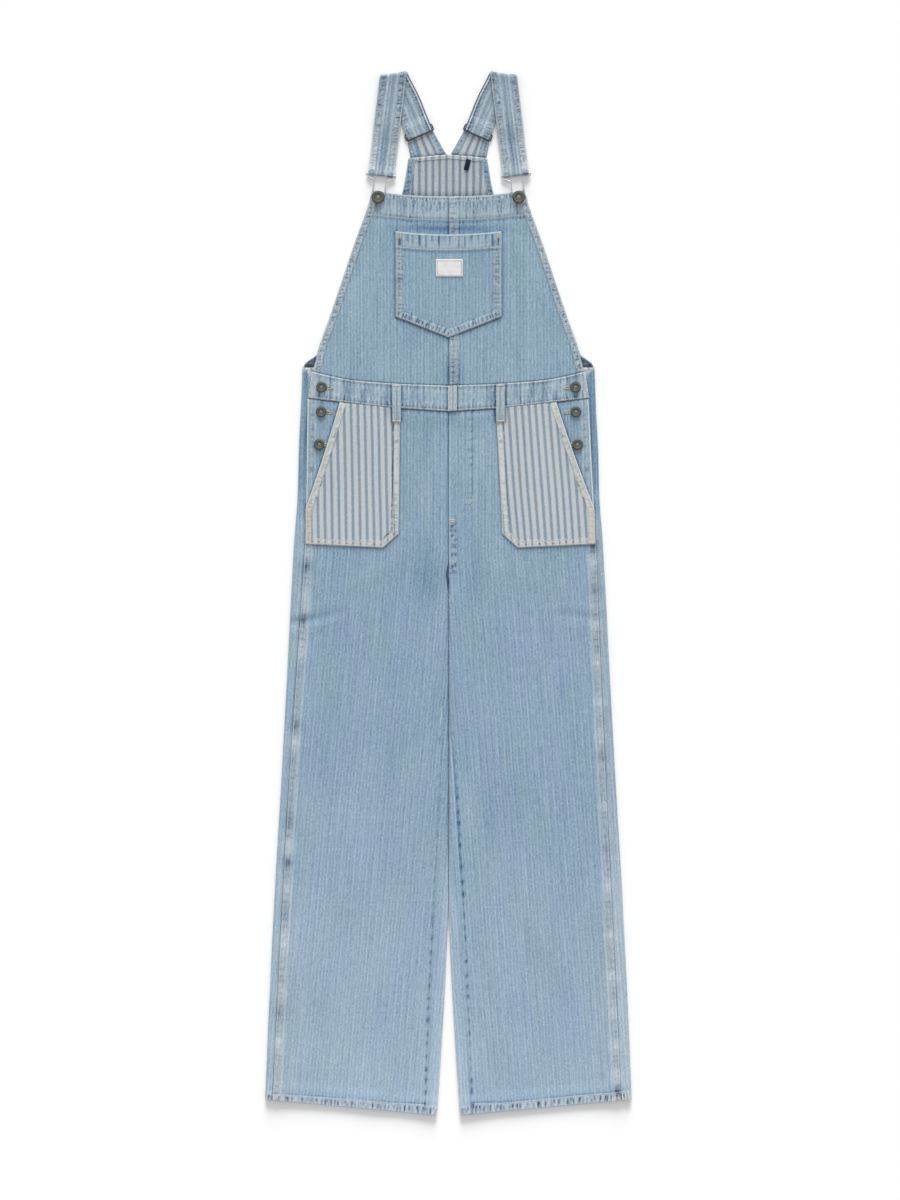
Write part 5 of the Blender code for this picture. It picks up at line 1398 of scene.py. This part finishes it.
metal_wear, wear_in, wear_out = group(
    "worn_metal", (("Place", (0, 0, 0)), ("Size", 1.0)), ("Tarnish", "Height"))
spots, grit = (
    noise(metal_wear, wear_in.outputs["Place"],
          maths(metal_wear, "MULTIPLY", wear_in.outputs["Size"], per_metre), detail)
    for per_metre, detail in ((520.0, 3.0), (2600.0, 1.0)))
metal_wear.links.new(total(metal_wear, (spots, 0.7), (grit, 0.3)), wear_out.inputs["Tarnish"])
metal_wear.links.new(total(metal_wear, (spots, 0.4), (grit, 0.6)), wear_out.inputs["Height"])


def metal(name, stops, rough, size=1.0, bump=0.25):
    """Tarnished metal: colour through stops by its spots and by the piece's own worn places."""
    made, tree = new_material(name)
    place = node(tree, "ShaderNodeTexCoord", output=3)
    worn = own(tree, "wear_and_shade")
    parts = node(tree, "ShaderNodeGroup", {}, node_tree=metal_wear).node
    feed(tree, parts, {"Place": place, "Size": size})
    color = ramp(tree, total(tree, (parts.outputs["Tarnish"], 0.7), (worn, 0.55)), *stops)
    rough = maths(tree, "MULTIPLY_ADD", parts.outputs["Tarnish"], 0.3, rough)
    finished(tree, {"Base Color": color, "Roughness": rough, "Metallic": 0.9}, parts.outputs["Height"],
             bump, 0.0002)
    return made


bronze = metal("antique_bronze_metal", (
    (0.1, linear(55, 58, 54)), (0.38, linear(91, 94, 89)), (0.62, linear(117, 118, 111)),
    (1.0, linear(152, 150, 140))), 0.5)
silver = metal("silver_wire_metal", (
    (0.1, linear(150, 152, 154)), (0.5, linear(204, 206, 208)), (0.9, linear(238, 239, 240))),
    0.2, 0.6, 0.1)


def surface(label, points, finish, worn, close_rows=False):
    """Mesh of a grid of points (rows, columns, 3) that closes on itself along its columns and, if
    asked, along its rows. Points at one place are joined, and the faces look outwards."""
    rows, columns = points.shape[:2]
    index = np.arange(rows * columns).reshape(rows, columns)
    if close_rows:
        index = np.concatenate((index, index[:1]))
    beside = np.roll(index, -1, axis=1)
    quads = np.stack((index[:-1], beside[:-1], beside[1:], index[1:]), -1).reshape(-1, 4)
    piece = placed(label, points, quads.tolist(), (finish,))
    mesh, values = piece.data, np.zeros((rows, columns)) + worn
    mesh.attributes.new("wear_and_shade", "FLOAT", "POINT").data.foreach_set("value", values.ravel())
    grid = bmesh.new()
    grid.from_mesh(mesh)
    bmesh.ops.remove_doubles(grid, verts=grid.verts, dist=0.000002)
    bmesh.ops.recalc_face_normals(grid, faces=grid.faces)
    grid.to_mesh(mesh)
    grid.free()
    return piece


def rod(label, path, radius, finish, worn):
    """Round wire along a closed path: circles square to the path, whose first side lies level."""
    ahead = np.roll(path, -1, axis=0) - np.roll(path, 1, axis=0)
    ahead /= np.linalg.norm(ahead, axis=1, keepdims=True)
    level_side = np.cross(ahead, (0.0, 0.0, 1.0))
    level_side /= np.linalg.norm(level_side, axis=1, keepdims=True)
    over = np.cross(level_side, ahead)
    turn = np.linspace(0.0, 2 * math.pi, 13)[:-1][None, :, None]
    points = path[:, None] + radius * (np.cos(turn) * level_side[:, None] + np.sin(turn) * over[:, None])
    return surface(label, points, finish, worn, close_rows=True)


def metal_part(piece, stands_for):
    """Stand a metal piece in for the node it replaces: hide that node's part and hang the piece on the
    root body.
    """
    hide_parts(stands_for)
    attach(piece, "root")


HOOK_HALF = (
    # station, half width, distance below the bar, height above the bar
    (0, 0, 0, 0), (1, 18.9, 0, 0), (2, 20.9, 0.5, 0), (3, 21.2, 1.9, 0.1),
    (4, 19.6, 4, 0.2), (5, 14.5, 6.6, 0.5), (6, 9.6, 9.6, 0.9), (7, 8.5, 13, 1.4),
    (8, 8.7, 18, 2.1), (9, 8.9, 24, 2.3), (10, 8.1, 29, 2.3), (11, 6, 33.4, 2.3),
    (12, 4.2, 36.2, 2.3), (13, 0, 37.8, 2.3),
)
at = np.linspace(0.0, 13.0, 105)
half_path = np.stack([along(HOOK_HALF, at, column) for column in (1, 2, 3)], -1)
hook_path = np.concatenate((half_path[:-1], (half_path * np.array((-1.0, 1.0, 1.0)))[:0:-1]))
# the slider's frame: a quarter turn at each corner, from its lower left round to its upper left
corners = np.radians(np.add.outer(np.array((180.0, 270.0, 0.0, 90.0)), np.linspace(0.0, 90.0, 7)))
reach, corner = STRAP_WIDTH / 2 + 2.2, 1.9
leftwards, upwards = np.array((-1.0, 1.0, 1.0, -1.0))[:, None], np.array((0.0, 0.0, 1.0, 1.0))[:, None]
slider_across = reach * leftwards + corner * (np.cos(corners) - leftwards)
slider_up = 0.75 * SLIDER_GAP * upwards + corner * (np.sin(corners) + 1.0 - 2.0 * upwards)
HOOK_WIRE, SLIDER_WIRE, SLIDER_HEIGHT = 0.95, 0.9, 2.6
for word, side in SIDES:
    flat = FOLD_PLACE + RUN * (FRONT_RUN + hook_path[:, 1:2]) + ACROSS * hook_path[:, :1]
    path = np.stack((side * flat[:, 0], flat[:, 1], BAR_HEIGHT + hook_path[:, 2]), -1)
    metal_part(rod(f"hook_{word}_wire", path, HOOK_WIRE, silver, 0.3), f"hook_{word}")
    flat = FOLD_PLACE + BACK_DIRECTION * (BACK_RUN - slider_up.reshape(-1, 1))
    flat += BACK_ACROSS * slider_across.reshape(-1, 1)
    path = np.stack((side * flat[:, 0], flat[:, 1], SLIDER_HEIGHT + 0.0 * flat[:, 0]), -1)
    frame_rod = rod(f"slider_{word}_frame", path, SLIDER_WIRE, bronze, 0.0)
    metal_part(frame_rod, f"slider_{word}")

# ---------------- buttons
# Shank buttons of antique bronze: a pressed head with a raised rim, a ring of small beads round a
# dished middle and a stem through the cloth. Two are at the bib's top corners, three down each side.

BUTTON_PROFILE = (
    # radius for a head of 1 radius, height
    (0, 3.42), (0.06, 3.42), (0.12, 3.34), (0.16, 3.16), (0.20, 3.06), (0.28, 3.02), (0.36, 3.02),
    (0.44, 3.04), (0.50, 3.14), (0.55, 3.38), (0.60, 3.56), (0.66, 3.66), (0.74, 3.70), (0.82, 3.66),
    (0.89, 3.50), (0.95, 3.22), (0.985, 2.92), (1, 2.62), (0.985, 2.36), (0.93, 2.18), (0.80, 2.10),
    (0.40, 1.9), (0.33, 1.6), (0.32, 0.8), (0.32, -0.8), (0, -0.8),
)
SIDE_BUTTONS = (
    # name, distance from the centre line, y
    ("waist_button", 184, 298.8), ("side_button_upper", 184.6, 263),
    ("side_button_lower", 187.2, 215.6),
)
BIB_BUTTON_RADIUS, SIDE_BUTTON_RADIUS, BIB_BUTTON_LIFT, BUTTON_BELOW_BAR = 9.4, 7.8, 2.6, 33.8


def shank_button(label, x, y, seat, radius, lift):
    """Turned head and stem: the profile's radius carried round in 60 steps, with a bead on every
    third, as height + 0.14 cos(20 turn) round the dish. Its high places are worn."""
    share = np.array([row[0] for row in BUTTON_PROFILE])[:, None]
    height = np.array([row[1] for row in BUTTON_PROFILE])[:, None]
    turn = np.linspace(0.0, 2 * math.pi, 61)[None, :-1]
    beads = bell(share - 0.36, 0.1) * (height > 2.5)
    height = np.where(height > 0.0, height + lift, height) + 0.14 * np.cos(20 * turn) * beads
    out = radius * share
    points = np.stack((x + out * np.cos(turn), y + out * np.sin(turn), seat + height), -1)
    worn = 0.35 * bell(share - 0.72, 0.1) * (height > 2.4) + 1.1 * bell(share, 0.42) - 0.2 * beads
    worn -= 0.2 * bell(share - 0.5, 0.06)
    return surface(label, points, bronze, np.clip(worn, -0.4, 1.0))


for word, side in SIDES:
    flat = FOLD_PLACE + RUN * (FRONT_RUN + BUTTON_BELOW_BAR)
    seat = laid(side * flat[0], flat[1]) + DOUBLED + LAYER_GAP
    piece = shank_button(f"bib_button_{word}_head", side * flat[0], flat[1], seat,
                         BIB_BUTTON_RADIUS, BIB_BUTTON_LIFT)
    metal_part(piece, f"bib_button_{word}")
    for label, across, y in SIDE_BUTTONS:
        low, high = waist_edges(side * across)
        seat = laid(side * across, y) + (DOUBLED if low < y < high else CLOTH) + LAYER_GAP
        piece = shank_button(f"{label}_{word}_head", side * across, y, seat, SIDE_BUTTON_RADIUS, 0.0)
        metal_part(piece, f"{label}_{word}")

# ---------------- sewing
# Pale cotton thread: rows of lockstitch along every edge, seam and hem, and small dense tacks where
# a seam takes strain. The buttonholes are bound with yellow thread, the tacks partly with orange.


def thread(name, low, high):
    """Matt twisted cotton: colour between two shades by fine noise, stronger than its relief."""
    made, tree = new_material(name)
    place = node(tree, "ShaderNodeTexCoord", output=3)
    grey = noise(tree, place, 420.0, 2.0)
    color = ramp(tree, grey, (0.35, linear(*low)), (0.65, linear(*high)))
    twist = noise(tree, place, 3000.0, 2.0)
    finished(tree, {"Base Color": color, "Roughness": 0.8, "Sheen Weight": 0.1}, twist, 0.4, 0.0002)
    return made


pale_thread = thread("pale_thread", (158, 172, 182), (214, 216, 210))
yellow_thread = thread("yellow_thread", (140, 136, 116), (206, 200, 172))
orange_thread = thread("orange_thread", (188, 180, 166), (215, 208, 196))


def stitches(label, seams, finish, slot="denim", pitch=3.1, length=2.8, width=0.9, height=0.42,
             crosswise=False):
    """Beads of thread along seams, each a row of points with its upward directions.

    A bead has two tips that dip into the cloth and two rings of four points between them. It lies
    along its seam, or across it in a tack, and leans a little, by the sine of its own number.
    """
    parts = []
    for points, ups in seams:
        steps = np.linalg.norm(np.diff(points, axis=0), axis=1)
        run = np.concatenate(([0.0], np.cumsum(steps)))
        count = max(1, int(round(run[-1] / pitch)))
        at = (np.arange(count) + 0.5) * run[-1] / count
        middle, before, after, up = (
            np.stack([np.interp(place, run, source[:, k]) for k in range(3)], -1)
            for place, source in (
                (at, points), (at - 0.4 * pitch, points), (at + 0.4 * pitch, points), (at, ups)))
        ahead = after - before
        up /= np.linalg.norm(up, axis=1, keepdims=True)
        ahead -= up * np.sum(ahead * up, axis=1, keepdims=True)
        ahead /= np.linalg.norm(ahead, axis=1, keepdims=True)
        aside = np.cross(up, ahead)
        lean = 0.09 * np.sin(2.4 * np.arange(count))[:, None]
        ahead, aside = (aside, -ahead) if crosswise else (ahead, aside)
        ahead, aside = ahead + lean * aside, aside - lean * ahead
        ring = [(0.30, 0.5, 0.35), (0.30, 0.0, 1.0), (0.30, -0.5, 0.35), (0.30, 0.0, -0.3)]
        places = [(-0.5, 0.0, -0.2)] + [(-a, b, c) for a, b, c in ring] + ring + [(0.5, 0.0, -0.2)]
        parts.append(np.stack([
            middle + a * length * ahead + b * width * aside + c * height * up for a, b, c in places], 1))
    beads = np.concatenate(parts)
    ends = [(0, 2, 1), (0, 3, 2), (0, 4, 3), (0, 1, 4), (9, 5, 6), (9, 6, 7), (9, 7, 8), (9, 8, 5)]
    sides = [(1, 2, 6, 5), (2, 3, 7, 6), (3, 4, 8, 7), (4, 1, 5, 8)]
    start = 10 * np.arange(len(beads))[:, None, None]
    faces = (start + np.array(ends)).reshape(-1, 3).tolist()
    faces += (start + np.array(sides)).reshape(-1, 4).tolist()
    piece = placed(label, beads, faces, (finish,))
    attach(piece, "root")


def seam(x, y, height):
    """Row of points for a seam on a face, whose upward direction is plainly up."""
    x, y, height = np.broadcast_arrays(x, y, height)
    return np.stack((x, y, height), -1), np.tile((0.0, 0.0, 1.0), (len(x), 1))


def inset(outline, distance):
    """An open outline moved to its left by a distance, its corners kept sharp, in fine steps."""
    corners = np.array(outline, float)
    runs = np.diff(corners, axis=0)
    runs /= np.linalg.norm(runs, axis=1, keepdims=True)
    lefts = np.stack((-runs[:, 1], runs[:, 0]), -1)
    first, second = np.concatenate((lefts[:1], lefts)), np.concatenate((lefts, lefts[-1:]))
    moved = corners + distance * (first + second) / (1.0 + np.sum(first * second, axis=1, keepdims=True))
    place = np.linspace(0.0, len(moved) - 1.0, 40 * (len(moved) - 1) + 1)
    return np.stack([np.interp(place, np.arange(len(moved)), moved[:, k]) for k in (0, 1)])


for word, side in SIDES:
    rows = []
    felled, open_edge = (hem_line(250.0) + 2.0, 84.0, 420), (98.0, 281.0, 90)
    for at, run in ((1.7, felled), (10.4, felled), (4.4, open_edge), (12.8, open_edge)):
        y = np.linspace(*run)
        across = outseam(side, y) - at
        rows.append(seam(side * across, y, leg_front_top(side, across, y) - 0.1))
    across = np.linspace(20.0, 262.0, 160)
    rise = hem_stitches(side, across)
    y = hem_line(across) + rise
    rows.append(seam(side * across, y, leg_front_top(side, across, y)))
    if side > 0:
        y = np.linspace(262.0, FLY_LOW_Y + 0.2, 90)
        fly_rows = [seam(fly_line(y), y, leg_front_top(side, fly_line(y), y))]
        stitches("fly_stitches", fly_rows, pale_thread, width=0.5, height=0.3)
        for at in (3.4, 8.4):
            y = np.linspace(30.0, FLY_LOW_Y, 40)
            rows.append(seam(at + 0.0 * y, y, leg_front_top(side, at + 0.0 * y, y)))
    stitches(f"leg_{word}_stitches", rows, pale_thread)

    rows = []
    y = np.linspace(326.0, 572.0, 120)
    for at in (2.2, 9.2):
        across = along(BIB_SIDE, y) - at / BIB_LEAN
        rows.append(seam(side * across, y, bib_top(side * across, y)))
    for line, below, reach in ((bib_top_line, 2.4, 106.0), (facing_line, 0.0, 119.0)):
        across = np.linspace(0.0, reach, 60)
        y = line(across) - below
        rows.append(seam(side * across, y, bib_top(side * across, y)))
    if side > 0:
        for at in (3.2, 12.0):
            for low, high in ((304.0, 374.0), (523.0, 574.0)):
                y = np.linspace(low, high, 24)
                rows.append(seam(at + 0.0 * y, y, bib_top(at + 0.0 * y, y)))
    stitches(f"bib_{word}_stitches", rows, pale_thread)

    rows = []
    for at in (1.7, 8.6):
        unswayed, y = inset(HIP_OUTLINE, at)[:, :-3]
        across = unswayed + side * along(SWAY, y)
        rows.append(seam(side * across, y, hip_pocket_top(side, across, y)))
    stitches(f"hip_pocket_{word}_stitches", rows, pale_thread, "striped_reverse")

    rows = []
    for at in (-4.5, 4.5):
        y = np.linspace(LOOP_ENDS[0] + 1.5, LOOP_ENDS[1] - 1.5, 30)
        x = side * LOOP_AT + at + 0.0 * y
        rows.append(seam(x, y, loop_top(side, x, y)))
        if side > 0:
            low, high = waist_edges(STRIP_AT)
            y = np.linspace(low + 1.5, high - 1.5, 20)
            x = STRIP_AT + at + 0.0 * y
            rows.append(seam(x, y, centre_strip_top(x, y)))
    stitches(f"loop_{word}_stitches", rows, pale_thread)

    points = strap_points(side)
    normals = np.cross(np.gradient(points, axis=1), np.gradient(points, axis=0))
    outwards = -1.0 if normals[40, 10, 2] < 0.0 else 1.0
    normals /= np.linalg.norm(normals, axis=2, keepdims=True) * outwards
    rows = []
    for inside in (2.0, 10.2):
        for sign in (-1, 1):
            place = sign * (STRAP_WIDTH / 2 - inside)
            column = np.interp(place, STRAP_ACROSS[0], np.arange(STRAP_ACROSS.size))
            low = int(column)
            blend = column - low
            line = points[:, low] * (1.0 - blend) + points[:, low + 1] * blend
            up = normals[:, low] * (1.0 - blend) + normals[:, low + 1] * blend
            rows.append((line + up * (CLOTH / 2 + (0.3 if inside > 5.0 else 0.2)), up))
    stitches(f"strap_{word}_stitches", rows, pale_thread)

rows = []
for at_top in (False, True):
    x = np.linspace(-201.0, 201.0, 400)
    low, high = waist_edges(x)
    y = high - 1.7 if at_top else low + 1.7
    keep = np.abs(x) < waist_end((y - low) / (high - low)) - 2.0
    x, y = x[keep], y[keep]
    rows.append(seam(x, y, waistband_top(x, y)))
for sign in (-1, 1):
    for at in (2.4, 10.0):
        share = np.linspace(0.05, 0.95, 20)
        x = sign * (waist_end(share) - at)
        low, high = waist_edges(x)
        y = low + (high - low) * share
        rows.append(seam(x, y, waistband_top(x, y)))
stitches("waistband_stitches", rows, pale_thread)

x, y = inset(POCKET_OUTLINE, 9.6)
keep = y < pocket_head(x) - 22.0
stitches("bib_pocket_inner_stitches", [seam(x[keep], y[keep], bib_pocket_top(x, y)[keep])], pale_thread,
         width=0.45, height=0.25)
x, y = inset(POCKET_OUTLINE, 2.0)
keep = y < pocket_head(x) - 2.0
rows = [seam(x[keep], y[keep], bib_pocket_top(x, y)[keep])]
for below, reach in ((22.4, 75.5), (2.0, 75.0)):
    x = np.linspace(-reach, reach, 90)
    y = pocket_head(x) - below
    rows.append(seam(x, y, bib_pocket_top(x, y)))
stitches("bib_pocket_stitches", rows, pale_thread)


def back_bib_head(x):
    """Top edge of the back bib: a flat peak."""
    return BACK_PEAK - BACK_DROP * np.abs(x) / 57.0


rows = []
for sign in (-1, 1):
    y = np.linspace(560.0, 634.0, 50)
    x = sign * (along(BACK_BIB_SIDE, y) - 9.0)
    rows.append(seam(x, y, back_bib_top(x, y)))
for below in (1.8, 5.6):
    x = np.linspace(-55.0, 55.0, 70)
    y = back_bib_head(x) - below
    rows.append(seam(x, y, back_bib_top(x, y)))
stitches("back_bib_stitches", rows, pale_thread, "striped_reverse")

round_patch = np.array(((-1, -1), (1, -1), (1, 1), (-1, 1), (-1, -1))) * (np.array(PATCH_HALF) - 1.6)
place = np.linspace(0.0, 4.0, 161)
x, y = (PATCH_PLACE[k] + np.interp(place, np.arange(5), round_patch[:, k]) for k in (0, 1))
stitches("patch_stitches", [seam(x, y, bib_pocket_top(x, y) + LAYER_GAP + 0.95)], pale_thread,
         "white_patch", pitch=2.0, length=1.6, width=0.6, height=0.3)

# tacks: a short line of stitches that lie across it, packed closely
TACK = {"pitch": 0.85, "length": 3.0, "width": 0.8, "height": 0.5, "crosswise": True}
orange_rows, pale_rows, yellow_rows = [], [], []
for at, y0, y1 in ((-72.6, 523.6, 514), (-69.8, 523.4, 514.4), (74, 523.8, 514), (71.4, 523.4, 515)):
    x, y = np.full(9, at), np.linspace(y0, y1, 9)
    orange_rows.append(seam(x, y, bib_pocket_top(x, y) + 0.15))
for x0, y0, x1, y1, rows in (
        (2.2, 106.8, 9.0, 105.8, orange_rows), (2.6, 104.2, 8.2, 103.4, orange_rows),
        (33.6, 136.0, 30.2, 129.4, pale_rows), (31.4, 136.4, 28.4, 130.4, pale_rows)):
    x, y = np.linspace(x0, x1, 9), np.linspace(y0, y1, 9)
    rows.append(seam(x, y, leg_front_top(1, x, y) + 0.15))
for side in (-1, 1):
    upper_rows = orange_rows if side < 0 else yellow_rows
    for y0, rows in ((LOOP_ENDS[0] + 1.2, orange_rows), (LOOP_ENDS[1] - 1.6, upper_rows)):
        x = side * LOOP_AT + np.linspace(-5.4, 5.4, 15)
        rows.append(seam(x, y0 + 0.0 * x, loop_top(side, x, y0 + 0.0 * x) + 0.2))
    x = np.linspace(side * 50.0, side * 43.0, 9)
    y = back_bib_head(x) - 3.4
    pale_rows.append(seam(x, y, back_bib_top(x, y) + 0.1))
stitches("orange_tacks", orange_rows, orange_thread, **TACK)
stitches("pale_tacks", pale_rows, pale_thread, **TACK)

# buttonholes: thread bound round a slit that runs from under each side button towards the middle
for side in (-1, 1):
    for _, across, at in SIDE_BUTTONS:
        turn = np.linspace(0.0, 2 * math.pi, 60)
        reach = 5.6 + 6.2 * np.cos(turn)
        fall = -0.2 * (reach + 2.0) + 1.5 * np.sin(turn) * (1.0 - 0.35 * np.cos(turn))
        x, y = side * (across - 5.0 - reach), at + fall + 0.8
        low, high = waist_edges(x)
        top = np.where((y > low) & (y < high), waistband_top(x, y), leg_front_top(side, np.abs(x), y))
        yellow_rows.append(seam(x, y, top + 0.15))
stitches("buttonhole_stitches", yellow_rows, yellow_thread, pitch=0.72, length=2.7, width=0.8,
         height=0.55, crosswise=True)

# ---------------- floor, light and camera
# A plain white floor under a wide soft lamp beyond the head end, and a long lens straight above.

white, tree = new_material("white_floor")
finished(tree, {"Base Color": (0.897, 0.897, 0.897, 1.0), "Roughness": 0.9, "Specular IOR Level": 0.0})
FLOOR_HALF, FLOOR_HEIGHT = 6000.0, -0.3
ends = FLOOR_HALF * np.array(((-1, -1), (1, -1), (1, 1), (-1, 1)))
floor = placed("floor", np.column_stack((ends, np.full(4, FLOOR_HEIGHT))), [(0, 1, 2, 3)], (white,))

world = bpy.data.worlds.new("studio")
world.use_nodes = True
sky = world.node_tree.nodes["Background"]
feed(world.node_tree, sky, {"Color": (1.0, 1.0, 1.0, 1.0), "Strength": 0.68})
bpy.context.scene.world = world
bpy.context.scene.view_settings.view_transform = "Standard"

lamp_data = bpy.data.lights.new("key_lamp", "SUN")
lamp_data.energy, lamp_data.angle = 3.78, math.radians(29.0)
lamp = bpy.data.objects.new("key_lamp", lamp_data)
lamp.rotation_euler = (-Vector((0.04, 0.93, 0.37))).to_track_quat("-Z", "Y").to_euler()
bpy.context.collection.objects.link(lamp)

camera_data = bpy.data.cameras.new("camera")
camera_data.sensor_fit = "VERTICAL"
camera_data.sensor_height = 36.0
distance, picture_height = 4.8, 1.740
camera_data.lens = camera_data.sensor_height * distance / picture_height
camera = bpy.data.objects.new("camera", camera_data)
camera.location = (0.0022, -0.0096, distance + 0.005)
bpy.context.collection.objects.link(camera)
bpy.context.scene.camera = camera
